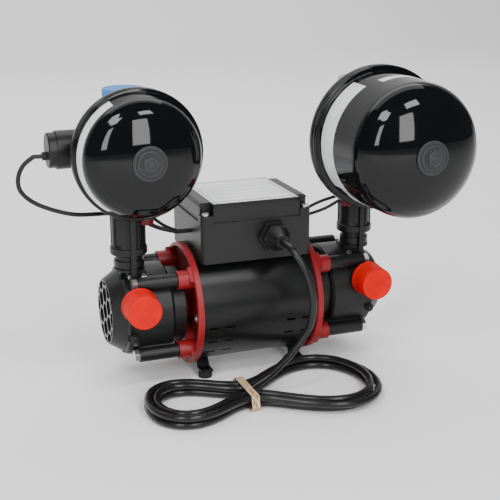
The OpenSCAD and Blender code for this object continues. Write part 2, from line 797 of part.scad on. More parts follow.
// A cap as a cup turned about its axis, its mouth at the start; flutes cross its side
module transit_cap(thread_r, thread_len) {
    in_r = thread_r + cap_clear;
    out_r = in_r + cap_wall;
    h = thread_len - rim_gap + cap_over + cap_end;
    difference() {
        rotate_extrude() polygon([
            [in_r, 0], [out_r + cap_lip, 0], [out_r + cap_lip, cap_lip_t], [out_r, cap_lip_t + cap_lip],
            [out_r, h - over], [out_r - over, h], [0, h], [0, h - cap_end], [in_r, h - cap_end]]);
        // Dimple of the moulding gate
        translate([0, 0, h - over / 2]) cylinder(r = out_r * 0.12, h = over, $fn = 24);
    }
}
module inlet_cap() {
    color(cap_c) along_front(column_x, inlet_up, collar_front + rim_gap) transit_cap(inlet_r, inlet_len);
}
module outlet_cap(tint) {
    color(tint) at_column() translate([0, 0, outlet_low + rim_gap]) transit_cap(outlet_r, outlet_len);
}

// Riser: socket over the housing nose, float bore, ribbed tube and the head that carries the vessel
module riser_body(plugged) {
    color(black_c) difference() {
        union() {
            at_column() rotate_extrude() polygon([
                [0, collar_low], [riser_r + riser_rib_out, collar_low],
                [riser_r + riser_rib_out + over, collar_low + over],
                [riser_r + riser_rib_out + over, collar_low + collar_h - over],
                [riser_r + riser_rib_out, collar_low + collar_h], [riser_r, collar_low + collar_h + edge],
                [riser_r, vessel_up - head_half - edge], [head_r, vessel_up - head_half],
                [head_r, vessel_up + head_half - edge], [riser_r + over, vessel_up + head_half],
                [riser_r + over, neck_top], [0, neck_top]]);
            at_column() for (i = [0 : riser_ribs - 1]) rotate([0, 0, (i + 0.5) * 360 / riser_ribs])
                translate([riser_r - over, -riser_rib_t / 2, collar_low + collar_h - over])
                    cube([riser_rib_out + over, riser_rib_t, vessel_up - head_half - collar_low - collar_h]);
            along_front(column_x, vessel_up, -column_y) cylinder(r = branch_r, h = branch_end + column_y);
            along_front(column_x, vessel_up, -column_y) cylinder(r = nipple_r, h = branch_end + nipple_len + column_y);
            along_x(column_x, column_y, vessel_up) cylinder(r = switch_port_r, h = switch_port_x - column_x);
            if (plugged) along_x(switch_port_x - over, column_y, vessel_up)
                cylinder(r = switch_port_r, h = edge * 2, $fn = 6);
        }
        at_column() {
            translate([0, 0, collar_low - over]) cylinder(r = riser_bore_r, h = stop_at - collar_low + over);
            translate([0, 0, stop_at - over]) cylinder(r = stop_r, h = neck_top - stop_at);
            translate([0, 0, neck_top - port_stem_len - over * 2])
                cylinder(r = port_stem_r, h = port_stem_len + over * 3);
        }
        along_front(column_x, vessel_up, -column_y) cylinder(r = nipple_r / 2, h = flange_front);
        if (!plugged) along_x(column_x, column_y, vessel_up)
            cylinder(r = switch_bore_r + seat, h = switch_port_x - column_x + over);
    }
}
module riser_left() mirror([1, 0, 0]) riser_body(false);
module riser_right() riser_body(true);

// Strap down the front of a riser, with an open clip round the tube and one round the spigot
module riser_straps() {
    rib_r = riser_r + riser_rib_out + seat;
    front_r = rib_r + over + strap_t;
    color(black_c) for (s = [-1, 1]) on_side(s) at_column() {
        translate([-strap_w / 2, -front_r, strap_low]) cube([strap_w, strap_t, strap_top - strap_low]);
        for (clip = [[rib_r, strap_top - strap_ring_h], [spigot_r + seat, spigot_low + edge + over]])
            translate([0, 0, clip[1]]) difference() {
                union() {
                    cylinder(r = clip[0] + strap_t, h = strap_ring_h);
                    translate([-strap_w / 2, -front_r, 0]) cube([strap_w, front_r - clip[0] + over, strap_ring_h]);
                }
                translate([0, 0, -over]) cylinder(r = clip[0], h = strap_ring_h + over * 2);
                translate([-strap_open, 0, -over])
                    cube([strap_open * 2, rib_r * 2, strap_ring_h + over * 2]);
            }
    }
}

module riser_screws() {
    root_end = housing_end - seat;
    color(steel_c) for (s = [-1, 1], i = [0, 1]) on_side(s) {
        x = block_x + edge * 2 + i * (root_end - block_x - edge * 3);
        along_front(x, screw_up, root_half - column_y - foot_screw_len + over)
            cylinder(r = foot_screw_r, h = foot_screw_len);
        along_front(x, screw_up, root_half - column_y) difference() {
            cylinder(r = foot_screw_head_r, h = foot_screw_head_t, $fn = 24);
            translate([-foot_screw_head_r, -foot_screw_head_t / 4, foot_screw_head_t / 2])
                cube([foot_screw_head_r * 2, foot_screw_head_t / 2, foot_screw_head_t]);
        }
    }
}

module flow_float() {
    color(cap_c) at_column() translate([0, 0, nose_top + float_gap]) rotate_extrude() polygon([
        [float_bore_r - over * 2, 0], [float_r, 0], [float_r, float_len - edge], [float_r - edge, float_len],
        [float_bore_r, float_len], [float_bore_r, edge * 2], [float_bore_r - over * 2, edge]]);
}

module flow_switches() {
    near = riser_r + riser_rib_out + seat;
    color(cast_c) for (s = [-1, 1]) on_side(s) at_column() rotate([0, 0, 225]) {
        translate([near, -flow_block / 2, flow_up]) difference() {
            cube([flow_block, flow_block, flow_block_h]);
            translate([flow_block / 2, flow_block / 2, flow_block_h - over]) cylinder(r = screw_r, h = over * 2);
        }
    }
}

// Expansion vessels: a front shell, a back shell crimped to it, and the diaphragm between
function dome(r, d0, h, from_r) = [for (i = [0 : dome_steps])
    let (a = i / dome_steps * acos(from_r / r)) [r * cos(a), d0 + h * sin(a)]];
function backwards(p) = [for (i = [len(p) - 1 : -1 : 0]) p[i]];
function dome_at(r, d0, h, at) = d0 + h * sqrt(1 - (at / r) * (at / r));
mid_front = flange_front + flange_w / 2;
flange_end = flange_front + flange_w;
module vessel_front(flange_radius, shoulder_r, shell_r, length, depth) {
    start = flange_end + length - flange_w;
    rim_end = mid_front + rim_deep;
    seat_d = dome_at(shell_r, start, depth, plug_r);
    in_r = shell_r - vessel_wall;
    color(gloss_c) along_front(column_x, vessel_up) rotate_extrude() polygon(concat(
        [[in_r, mid_front + clamp_t / 2], [flange_radius - groove, mid_front + clamp_t / 2],
         [flange_radius, mid_front + clamp_t / 2 + groove], [flange_radius, rim_end - bead],
         [flange_radius - bead, rim_end], [shoulder_r + bead * 0.4, rim_end + bead * 0.2],
         [shoulder_r, rim_end + bead]],
        dome(shell_r, start, depth, plug_r),
        [[plug_stem_r + seat, seat_d], [plug_stem_r + seat, seat_d - vessel_wall * 2]],
        backwards(dome(in_r, start, depth - vessel_wall, plug_r + vessel_wall))));
}
module vessel_back(flange_radius, shell_r) {
    depth = flange_front - branch_end - neck_len;
    top_r = flange_radius - bead * 2;
    in_r = top_r - vessel_wall * 2;
    rise = flange_front - depth;
    color(gloss_c) along_front(column_x, vessel_up) rotate_extrude() polygon(concat(
        [[shell_r - vessel_wall, mid_front - clamp_t / 2], [flange_radius - groove, mid_front - clamp_t / 2],
         [flange_radius, mid_front - clamp_t / 2 - groove], [flange_radius, flange_front + bead],
         [flange_radius - bead, flange_front]],
        [for (p = dome(top_r, 0, depth, neck_r)) [p[0], flange_front - p[1]]],
        [[neck_r, branch_end], [nipple_r + seat, branch_end], [nipple_r + seat, rise + vessel_wall],
         [neck_r + vessel_wall, rise + vessel_wall]],
        backwards([for (p = dome(in_r, 0, depth - vessel_wall, neck_r + vessel_wall * 2))
            [p[0], flange_front - p[1]]]),
        [[shell_r - vessel_wall, flange_front + bead]]));
}
module diaphragm(flange_radius, shell_r) {
    lip_r = flange_radius - groove - over;
    free_r = shell_r - vessel_wall * 2;
    bulge = vessel_wall * 4;
    thin = clamp_t - seat * 2;
    color(rubber_c) along_front(column_x, vessel_up, mid_front - thin / 2) rotate_extrude() polygon([
        [0, bulge], [free_r * 0.6, bulge], [free_r, 0], [lip_r, 0], [lip_r, thin], [free_r, thin],
        [free_r * 0.6, bulge + thin], [0, bulge + thin]]);
}
module vessel_plug(shell_r, length, depth) {
    seat_d = dome_at(shell_r, flange_end + length - flange_w, depth, plug_r);
    color(black_c) {
        along_front(column_x, vessel_up, seat_d) rotate_extrude() polygon([
            [0, 0], [plug_r, 0], [plug_r, plug_t * 0.5], [plug_r - over, plug_t * 0.6],
            [plug_r * 0.8, plug_t * 0.6], [plug_r * 0.75, plug_t], [0, plug_t]]);
        along_front(column_x, vessel_up, seat_d + plug_t) cylinder(r = plug_hex_r, h = plug_hex_t, $fn = 6);
        along_front(column_x, vessel_up, seat_d - plug_stem_len) cylinder(r = plug_stem_r, h = plug_stem_len);
    }
}
module vessel_front_left() mirror([1, 0, 0]) vessel_front(left_flange_r, left_shoulder_r, left_shell_r, left_len, left_dome);
module vessel_front_right() vessel_front(right_flange_r, right_shoulder_r, right_shell_r, right_len, right_dome);
module vessel_back_left() mirror([1, 0, 0]) vessel_back(left_flange_r, left_shell_r);
module vessel_back_right() vessel_back(right_flange_r, right_shell_r);
module diaphragm_left() mirror([1, 0, 0]) diaphragm(left_flange_r, left_shell_r);
module diaphragm_right() diaphragm(right_flange_r, right_shell_r);
module vessel_plug_left() mirror([1, 0, 0]) vessel_plug(left_shell_r, left_len, left_dome);
module vessel_plug_right() vessel_plug(right_shell_r, right_len, right_dome);

// Pressure switch on the left riser head, its hexagon against the port
module pressure_switch() {
    color(black_c) mirror([1, 0, 0]) {
        along_x(column_x + riser_r, column_y, vessel_up) cylinder(r = switch_bore_r, h = switch_x - column_x - riser_r);
        along_x(switch_port_x, column_y, vessel_up) cylinder(r = switch_r * 0.6, h = switch_x - switch_port_x, $fn = 6);
        along_x(switch_x, column_y, vessel_up) rotate_extrude() polygon([
            [0, 0], [switch_r - edge, 0], [switch_r, edge], [switch_r, switch_len],
            [switch_cap_r, switch_len], [switch_cap_r, switch_len + switch_cap_t - over],
            [switch_cap_r - over, switch_len + switch_cap_t], [0, switch_len + switch_cap_t]]);
        along_x(switch_x + switch_len + switch_cap_t, column_y, vessel_up - stub_down)
            cylinder(r = stub_r, h = stub_len);
    }
}
stub_end = [-(switch_x + switch_len + switch_cap_t + stub_len), column_y, axis_h + vessel_up - stub_down];
module pressure_lead() {
    path = concat([stub_end], [for (p = pressure_route) stub_end + [p[0], 0, p[1]]], pressure_end,
        [[-box_len / 2, pressure_end[5][1], pressure_end[5][2]]]);
    color(rubber_c) tube(route(path, lead_steps - 1), pressure_d, 8);
}
module flow_leads() {
    color(rubber_c) for (way = [left_flow_route, right_flow_route, right_second_route])
        tube(route(concat(way, [[sign(way[0][0]) * box_len / 2, way[3][1], way[3][2]]]), lead_steps - 1),
            flow_d, 8);
}

// Terminal box straddling the barrel, its skirts reaching down in front and behind
module rounded(l, front, back, h, inset = 0) {
    r = corner_r - inset;
    x = l / 2 - corner_r;
    y0 = -front + corner_r;
    y1 = back - corner_r;
    hull() for (p = [[-x, y0], [x, y0], [x, y1], [-x, y1]]) translate([p[0], p[1], 0])
        cylinder(r = r, h = h, $fn = 32);
}
pillar_x = box_len / 2 - pillar * 0.45;
pillar_front = box_front - pillar * 0.45;
pillar_back = box_back - pillar * 0.45;
pillar_top = seam_up + lid_h - pillar_drop;
module at_pillars() for (x = [-pillar_x, pillar_x], y = [-pillar_front, pillar_back])
    translate([x, y, axis_h]) children();
module terminal_box() {
    board_at = floor_up + floor_t;
    color(black_c) difference() {
        union() {
            difference() {
                translate([0, 0, axis_h + saddle_up])
                    rounded(box_len, box_front, box_back, seam_up - saddle_up);
                translate([0, 0, axis_h + board_at])
                    rounded(box_len, box_front, box_back, seam_up, box_wall);
                translate([0, 0, axis_h + saddle_up - over])
                    rounded(box_len, box_front, box_back, floor_up - saddle_up + over, box_wall);
            }
            at_pillars() translate([0, 0, floor_up]) cylinder(r = pillar * 0.35, h = seam_up - floor_up);
            for (x = [-1, 1], y = [-0.75, 0.1]) translate([x * box_len * 0.36, y * box_front, axis_h + board_at - over])
                cylinder(r = board_post_r, h = board_post + over);
        }
        along_x(-box_len) cylinder(r = barrel_r + seat, h = box_len * 2);
        along_front(gland_x, gland_up, box_front - box_wall - over)
            cylinder(r = gland_hole_r + seat, h = box_wall + over * 2);
        at_pillars() translate([0, 0, seam_up - screw_len]) cylinder(r = screw_r + seat, h = screw_len + over);
    }
}
module box_lid() {
    color(black_c) difference() {
        hull() {
            translate([0, 0, axis_h + seam_up]) rounded(box_len, box_front, box_back, lid_h - lid_bevel);
            translate([0, 0, axis_h + seam_up]) rounded(box_len, box_front, box_back, lid_h, lid_bevel);
        }
        translate([0, 0, axis_h + seam_up - over])
            rounded(box_len - pillar * 2, box_front - box_wall, box_back - box_wall, lid_h - box_wall + over, box_wall);
        for (a = [[box_len, lid_sunk * 2, 0, -box_front], [box_len, lid_sunk * 2, 0, box_back]])
            translate([-a[0] / 2 + pillar, a[3] - lid_sunk, axis_h + seam_up + lid_lip])
                cube([a[0] - pillar * 2, a[1], lid_h - lid_lip - lid_bevel]);
        for (x = [-1, 1]) translate([x * box_len / 2 - lid_sunk, -box_front + pillar, axis_h + seam_up + lid_lip])
            cube([lid_sunk * 2, box_front + box_back - pillar * 2, lid_h - lid_lip - lid_bevel]);
        for (x = [-box_len / 2 - over, box_len / 2 - pillar], y = [-box_front - over, box_back - pillar])
            translate([x, y, axis_h + pillar_top]) cube([pillar + over, pillar + over, pillar_drop + over]);
        at_pillars() translate([0, 0, seam_up - over]) cylinder(r = screw_r + seat, h = lid_h + over * 2);
        translate([-box_len / 2 + label_margin, -box_front + label_edge, axis_h + seam_up + lid_h - label_deep])
            cube([box_len - label_margin * 2, box_front + box_back - label_edge * 2, label_deep + over]);
    }
}
module lid_screws() {
    color(steel_c) at_pillars() {
        translate([0, 0, pillar_top]) difference() {
            cylinder(r = screw_head_r, h = screw_head_t, $fn = 32);
            for (turn = [0, 90]) rotate([0, 0, turn])
                translate([-screw_head_r * 0.6, -screw_head_t * 0.15, screw_head_t * 0.5])
                    cube([screw_head_r * 1.2, screw_head_t * 0.3, screw_head_t]);
        }
        translate([0, 0, pillar_top - screw_len + over * 2]) cylinder(r = screw_r, h = screw_len - over);
    }
}
module rating_plate() {
    gap = seat * 2;
    color(steel_c) translate([-box_len / 2 + label_margin + gap, -box_front + label_edge + gap,
        axis_h + seam_up + lid_h - label_deep])
        cube([box_len - (label_margin + gap) * 2, box_front + box_back - label_edge * 2 - gap * 2, label_t]);
}
module control_board() {
    board_z = axis_h + floor_up + floor_t + board_post;
    board_y = [-box_front + box_wall + edge, box_front * 0.2];
    part = box_front * 0.28;
    color("#2f6b3c") {
        translate([-box_len * 0.4, board_y[0], board_z])
            cube([box_len * 0.8, board_y[1] - board_y[0], board_t]);
        for (x = [-1.2, 0.6]) translate([x * part, board_y[0] + edge, board_z + board_t - over / 2])
            cube([part * 0.8, part * 1.6, part * 0.7]);
        translate([-part * 2.6, board_y[1] - part, board_z + board_t - over / 2])
            cube([part * 5, part * 0.6, part * 0.6]);
    }
}
module run_capacitor() {
    color(grey_c) translate([-cap_can_len / 2, box_back - box_wall - cap_can_r - seat,
        axis_h + floor_up + floor_t + cap_can_r + seat]) rotate([0, 90, 0]) rotate_extrude() polygon([
            [0, 0], [cap_can_r, 0], [cap_can_r, cap_can_len - over], [cap_can_r - over, cap_can_len],
            [cap_can_r * 0.3, cap_can_len], [cap_can_r * 0.3, cap_can_len + edge], [0, cap_can_len + edge]]);
}

// Gland: a hexagon against the box, and a nut that tapers onto the lead
module gland_body() {
    color(black_c) difference() {
        union() {
            along_front(gland_x, gland_up, box_front) cylinder(r = gland_r, h = gland_hex_t, $fn = 6);
            along_front(gland_x, gland_up, box_front - gland_in) cylinder(r = gland_hole_r, h = gland_in + over);
            along_front(gland_x, gland_up, box_front) cylinder(r = gland_hole_r, h = gland_hex_t + nut_hex_t);
        }
        along_front(gland_x, gland_up, box_front - gland_in - over)
            cylinder(r = gland_bore_r, h = gland_in + gland_hex_t + nut_hex_t + over * 2);
    }
}
module gland_nut() {
    d0 = box_front + gland_hex_t;
    color(black_c) difference() {
        union() {
            along_front(gland_x, gland_up, d0) cylinder(r = nut_back_r, h = nut_hex_t, $fn = 6);
            along_front(gland_x, gland_up, d0) rotate_extrude() polygon([
                [0, nut_hex_t - over], [nut_back_r * 0.84, nut_hex_t - over], [nut_back_r * 0.84, nut_hex_t + over],
                [nut_back_r * 0.72, nut_len * 0.55], [nut_nose_r + over, nut_len * 0.85],
                [nut_nose_r, nut_len], [0, nut_len]]);
        }
        along_front(gland_x, gland_up, d0 - over) cylinder(r = gland_hole_r + seat, h = nut_hex_t + over + seat);
        along_front(gland_x, gland_up, d0) cylinder(r = cord_d / 2 - grip, h = nut_len + over);
    }
}

// Foot bracket: a saddle under the barrel, two splayed legs and a flange on each
function arc(r, from, to, steps) = [for (i = [0 : steps])
    let (a = from + (to - from) * i / steps) [r * cos(a), r * sin(a)]];
module foot_bracket() {
    saddle_r = barrel_r + seat * 2;
    under_r = saddle_r + sheet;
    flange_down = axis_h - foot_h;
    flange_y = under_r * sin(saddle_angle) + (flange_down - under_r * cos(saddle_angle)) * leg_lean;
    outer = foot_y + foot_r;
    color(black_c) difference() {
        // The profile is drawn with its first axis pointing down
        along_x(foot_x - foot_w / 2) linear_extrude(foot_w) polygon(concat(
            [[flange_down, outer], [flange_down, flange_y]],
            arc(under_r, saddle_angle, -saddle_angle, saddle_steps),
            [[flange_down, -flange_y], [flange_down, -outer], [flange_down - sheet, -outer],
             [flange_down - sheet, -flange_y - sheet]],
            arc(saddle_r, -saddle_angle, saddle_angle, saddle_steps),
            [[flange_down - sheet, flange_y + sheet], [flange_down - sheet, outer]]));
        for (s = [-1, 1]) translate([foot_x, s * foot_y, foot_h - over])
            cylinder(r = foot_hole_r, h = sheet + over * 2);
    }
}
module foot_bracket_left() mirror([1, 0, 0]) foot_bracket();
module foot_bracket_right() foot_bracket();
module rubber_feet() {
    color(rubber_c) for (s = [-1, 1], y = [-foot_y, foot_y]) translate([s * foot_x, y, 0]) rotate_extrude() polygon([
        [foot_hole_r, 0], [foot_r, 0], [foot_r, foot_h * 0.7], [foot_r - over, foot_h], [foot_hole_r, foot_h]]);
}

// Mains lead, hank, tie and bare cores
module mains_lead() {
    start = hank_path[0] - heading(hank_path, 0) * cord_d * 1.2;
    color(rubber_c) tube(route(concat(lead_route, [start, hank_path[0]]), lead_steps), cord_d, 10);
}
module cord_hank() {
    color(rubber_c) tube(hank_path, cord_d, hank_sides);
}
module cord_tie() {
    half_w = hank_inner + hank_step * half_loops + cord_d / 2 + over;
    half_h = (hank_layer + cord_d) / 2 + tie_gap;
    module stadium(grow) {
        for (s = [-1, 1]) translate([0, s * (half_w - half_h)]) circle(r = half_h + grow);
        translate([-half_h - grow, -half_w + half_h]) square([(half_h + grow) * 2, (half_w - half_h) * 2]);
    }
    color("#d8c7a0") translate([hank_x - tie_w / 2, hank_y, tie_t + half_h]) rotate([0, 90, 0])
        linear_extrude(tie_w) difference() {
            stadium(tie_t);
            stadium(0);
        }
}
module core(turn, end) {
    side = square_to([0, 0, 1], hank_dir);
    across = cross(hank_dir, side);
    start = hank_end + core_offset * (side * sin(turn) + across * cos(turn));
    way = [for (p = [[0, 0], [0.15, 0], [0.35, 0.1], [0.6, 0.45], [0.85, 0.85], [1, 1]])
        start + hank_dir * core_out * p[0] + (across * end[0] + side * end[1]) * p[1]];
    tube(route(way, lead_steps - 1), core_d, 8);
}
module core_blue() color("#2d6fb0") core(210, core_ends[0]);
module core_brown() color("#7a4a25") core(90, core_ends[1]);
module core_earth() color("#c9b24a") core(330, core_ends[2]);

motor_barrel();
stator_core();
stator_windings();
motor_shaft();
rotor_core();
bearings();
on_side(-1) end_plate();  // end_plate_left
end_plate();  // end_plate_right
tie_rods();
on_side(-1) pump_housing();  // pump_housing_left
pump_housing();  // pump_housing_right
on_side(-1) end_cover();  // end_cover_left
end_cover();  // end_cover_right
housing_bolts();
on_side(-1) impeller();  // impeller_left
impeller();  // impeller_right
shaft_seals();
cover_seals();
inlet_ports();
outlet_ports();
foot_bracket_left();
foot_bracket_right();
rubber_feet();
terminal_box();
box_lid();
lid_screws();
rating_plate();
control_board();
run_capacitor();
gland_body();
gland_nut();
riser_left();
riser_right();
riser_straps();
riser_screws();
on_side(-1) flow_float();  // flow_float_left
flow_float();  // flow_float_right
flow_switches();
flow_leads();
vessel_front_left();
vessel_front_right();
vessel_back_left();
vessel_back_right();
diaphragm_left();
diaphragm_right();
vessel_plug_left();
vessel_plug_right();
pressure_switch();
pressure_lead();
on_side(-1) outlet_cap(blue_c);  // outlet_cap_left
outlet_cap(grey_c);  // outlet_cap_right
on_side(-1) inlet_cap();  // inlet_cap_left
inlet_cap();  // inlet_cap_right
mains_lead();
cord_hank();
cord_tie();
core_blue();
core_brown();
core_earth();
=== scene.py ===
import math

import bpy
from bpy.props import FloatProperty, FloatVectorProperty, IntProperty, PointerProperty
from mathutils import Matrix, Vector


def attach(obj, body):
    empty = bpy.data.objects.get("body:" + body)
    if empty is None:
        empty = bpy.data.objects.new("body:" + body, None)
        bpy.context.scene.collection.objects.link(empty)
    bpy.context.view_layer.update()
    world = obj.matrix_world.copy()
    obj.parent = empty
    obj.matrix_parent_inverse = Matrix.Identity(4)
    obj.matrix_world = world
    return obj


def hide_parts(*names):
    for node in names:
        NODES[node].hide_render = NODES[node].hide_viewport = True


bl_info = {
    "name": "Shower pump dressing",
    "version": (1, 0, 0),
    "blender": (4, 5, 0),
    "location": "View3D > Sidebar > Pump",
    "description": "Dresses the packed shower pump with its finishes, shells, caps and leads",
    "category": "Object",
}

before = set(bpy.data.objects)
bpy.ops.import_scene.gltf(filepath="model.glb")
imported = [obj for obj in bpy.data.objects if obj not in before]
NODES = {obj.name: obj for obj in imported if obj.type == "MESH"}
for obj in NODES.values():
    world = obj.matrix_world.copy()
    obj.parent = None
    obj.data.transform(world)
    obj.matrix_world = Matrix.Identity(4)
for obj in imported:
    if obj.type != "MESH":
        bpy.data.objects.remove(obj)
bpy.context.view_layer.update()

MM = 0.001
PER_METRE = 1000
UP = (0, 0, 1)
FORWARD = (0, -1, 0)

# Places on the pump, in millimetres: the columns are the risers, and the last three are distances
# along a vessel's axis, in front of the plane through the shaft
SHAFT_UP = 72.0
COLUMN_X = 121.0
COLUMN_Y = -12.0
VESSEL_UP = 240.0
INLET_UP = 91.2
FLANGE_AT = 53.0
SEAM_AT = 60.5
BRANCH_AT = 37.0

# Camera of the photograph: place in metres, dip and turn in degrees, lens in millimetres
CAMERA_PLACE = (-0.35275, -0.96870, 0.43169)
CAMERA_DIP = 16.8
CAMERA_TURN = -20.5
CAMERA_LENS = 75.6
CAMERA_SENSOR = 36.0


def at(*mm):
    """A point given in millimetres, in metres"""
    return Vector(mm) * MM


# ---------------------------------------------------------------- sizes and colours


def size(name, about, default, low, high):
    """A length in metres that the panel shows"""
    return FloatProperty(name=name, description=about, default=default, min=low, max=high,
                         unit="LENGTH", subtype="DISTANCE")


def tint(name, about, default):
    """A colour that the panel shows"""
    return FloatVectorProperty(name=name, description=about, default=default, min=0.0, max=1.0,
                               size=3, subtype="COLOR")


def strength(name, about, default, high):
    """A strength of light that the panel shows"""
    return FloatProperty(name=name, description=about, default=default, min=0.0, max=high)


class PumpSizes(bpy.types.PropertyGroup):
    """Sizes of the dressed pieces"""

    cord_width: size("Mains lead", "Diameter of the mains lead", 0.007, 0.004, 0.01)
    core_width: size("Core", "Diameter of a bare-ended core", 0.0022, 0.001, 0.004)
    pressure_width: size("Pressure lead", "Diameter of the pressure switch lead", 0.0043, 0.002, 0.006)
    flow_width: size("Flow lead", "Diameter of a flow switch lead", 0.0033, 0.002, 0.006)
    seam_round: size("Seam bead", "Rounding of the crimped seam of a vessel", 0.0018, 0.0005, 0.004)
    cap_round: size("Cap edge", "Rounding of the front edge of a cap", 0.0016, 0.0005, 0.003)
    paper: size("Label paper", "Thickness of the paper labels", 0.0002, 0.0001, 0.0005)
    vessel_sides: IntProperty(name="Vessel sides", description="Faces round a vessel", default=144,
                              min=48, max=256)


class PumpColours(bpy.types.PropertyGroup):
    """Colours of the finishes"""

    vessel: tint("Vessels", "Gloss paint of the expansion vessels", (0.0035, 0.0037, 0.0042))
    barrel: tint("Barrel", "Satin paint of the motor barrel", (0.0062, 0.0064, 0.0068))
    moulded: tint("Mouldings", "Black of the moulded parts", (0.0085, 0.0087, 0.0092))
    casting: tint("End plates", "Red of the cast end plates", (0.24, 0.0085, 0.012))
    red_cap: tint("Red caps", "Red of the inlet caps", (0.62, 0.002, 0.001))
    blue_cap: tint("Blue cap", "Blue of the left outlet cap", (0.06, 0.24, 0.56))
    grey_cap: tint("Grey cap", "Grey of the right outlet cap", (0.34, 0.35, 0.37))
    paper: tint("Labels", "Paper of the vessel labels", (0.72, 0.73, 0.74))
    plate: tint("Rating plate", "Foil of the bare rating plate", (0.84, 0.85, 0.86))
    lead: tint("Leads", "Sheath of the leads", (0.0095, 0.0096, 0.0102))
    tie: tint("Tie", "Rubber of the tie", (0.62, 0.45, 0.26))


class PumpLight(bpy.types.PropertyGroup):
    """Light of the studio"""

    key: strength("Softboxes", "Strength of the front softboxes", 0.78, 10.0)
    top: strength("Overhead", "Strength of the overhead light and the backdrop wash", 0.4, 10.0)
    room: strength("Room", "Strength of the plain light all round", 0.45, 2.0)
    dim: strength("Gloss", "Strength of the room as gloss shows it", 0.06, 2.0)
    floor: tint("Floor", "Colour of the studio floor", (0.90, 0.90, 0.90))


# ---------------------------------------------------------------- shader maths

# Numbers of sockets: object coordinates of Texture Coordinate, scale of Mapping,
# and the two colours that go into Mix and the one that comes out
OBJECT_PLACE = 3
MAPPING_SCALE = 3
MIX_FIRST, MIX_SECOND, MIX_COLOUR = 6, 7, 2


class Term:
    """A socket in a sum: its operators add Math nodes to the same finish"""

    def __init__(self, finish, socket):
        self.finish, self.socket = finish, socket

    def math(self, operation, *others):
        """The answer of a Math node whose first input is this socket"""
        inputs = dict(enumerate((self, *others)))
        return self.finish.node("ShaderNodeMath", {"operation": operation}, inputs)[0]

    def __add__(self, other):
        return self.math("ADD", other)

    def __mul__(self, other):
        return self.math("MULTIPLY", other)

    def __sub__(self, other):
        return self.math("SUBTRACT", other)

    def __rsub__(self, other):
        return self.finish.node("ShaderNodeMath", {"operation": "SUBTRACT"}, {0: other, 1: self})[0]

    def __truediv__(self, other):
        return self.math("DIVIDE", other)

    def __pow__(self, other):
        return self.math("POWER", other)

    def __abs__(self):
        return self.math("ABSOLUTE")

    __radd__ = __add__

    def sine(self):
        """Sine of the socket"""
        return self.math("SINE")

    def most(self, other):
        """The larger of the socket and another"""
        return self.math("MAXIMUM", other)

    def step(self, low, high):
        """0 below low, 1 above high, smooth between"""
        settings = {"interpolation_type": "SMOOTHSTEP"}
        inputs = {"Value": self, "From Min": low, "From Max": high}
        return self.finish.node("ShaderNodeMapRange", settings, inputs)[0]


class Finish:
    """One material and the nodes that make it"""

    made = {}

    def __init__(self, name, **constants):
        self.material = bpy.data.materials.new(name)
        self.material.use_nodes = True
        self.tree = self.material.node_tree
        self.shader = self.tree.nodes["Principled BSDF"]
        self.place = self.node("ShaderNodeTexCoord", {}, {})[OBJECT_PLACE]
        self.x, self.y, self.z = self.node("ShaderNodeSeparateXYZ", {}, {0: self.place})
        for key, value in constants.items():
            self.set(key.replace("_", " ").title(), value)
        Finish.made[name] = self

    def put(self, socket, value):
        """Links a term to a socket, or sets the socket to a number or a colour"""
        if isinstance(value, Term):
            self.tree.links.new(value.socket, socket)
        elif hasattr(socket.default_value, "__len__"):
            socket.default_value = (*value, 1.0)[:len(socket.default_value)]
        else:
            socket.default_value = value

    def node(self, kind, settings, inputs):
        """Adds a node and returns its outputs as terms"""
        made = self.tree.nodes.new(kind)
        for key, value in settings.items():
            setattr(made, key, value)
        for key, value in inputs.items():
            self.put(made.inputs[key], value)
        return [Term(self, socket) for socket in made.outputs]

    def set(self, socket, value):
        """Feeds one socket of the shader"""
        self.put(self.shader.inputs[socket], value)

    def noise(self, scale, detail=4.0, rough=0.55, stretch=None):
        """Noise in object coordinates, stretched along the axes if asked"""
        place = self.place
        if stretch:
            place = self.node("ShaderNodeMapping", {}, {0: place, MAPPING_SCALE: stretch})[0]
        inputs = {0: place, "Scale": scale, "Detail": detail, "Roughness": rough}
        return self.node("ShaderNodeTexNoise", {}, inputs)[0]

    def mix(self, factor, first, second):
        """A colour between two"""
        inputs = {0: factor, MIX_FIRST: first, MIX_SECOND: second}
        return self.node("ShaderNodeMix", {"data_type": "RGBA"}, inputs)[MIX_COLOUR]

    def rounded(self, radius):
        """Normal that rounds sharp edges"""
        return self.node("ShaderNodeBevel", {"samples": 4}, {"Radius": radius})[0]

    def bump(self, height, depth, normal=None):
        """Normal of a height, laid over another normal if given"""
        inputs = {"Height": height, "Strength": 1.0, "Distance": depth}
        if normal:
            inputs["Normal"] = normal
        return self.node("ShaderNodeBump", {}, inputs)[0]

    def off_shaft(self):
        """Distance from the line of the shaft, in metres"""
        rise = self.z - SHAFT_UP * MM
        return (self.y * self.y + rise * rise) ** 0.5


def shade(colour, factor):
    """A colour made darker or lighter"""
    return tuple(min(1.0, channel * factor) for channel in colour)


def painted(name, colour, rough, shine, grain, depth, edge=0.0006, spread=0.08):
    """Paint over metal, with an even orange peel and a little dust"""
    finish = Finish(name)
    finish.set("Specular IOR Level", shine)
    cloud = finish.noise(9.0, 3.0)
    fine = finish.noise(grain, 2.0)
    finish.set("Base Color", finish.mix(cloud.step(0.35, 0.7), shade(colour, 0.86), shade(colour, 1.16)))
    finish.set("Roughness", rough - spread / 2 + cloud * spread)
    finish.set("Normal", finish.bump(fine, depth, finish.rounded(edge) if edge else None))
    return finish


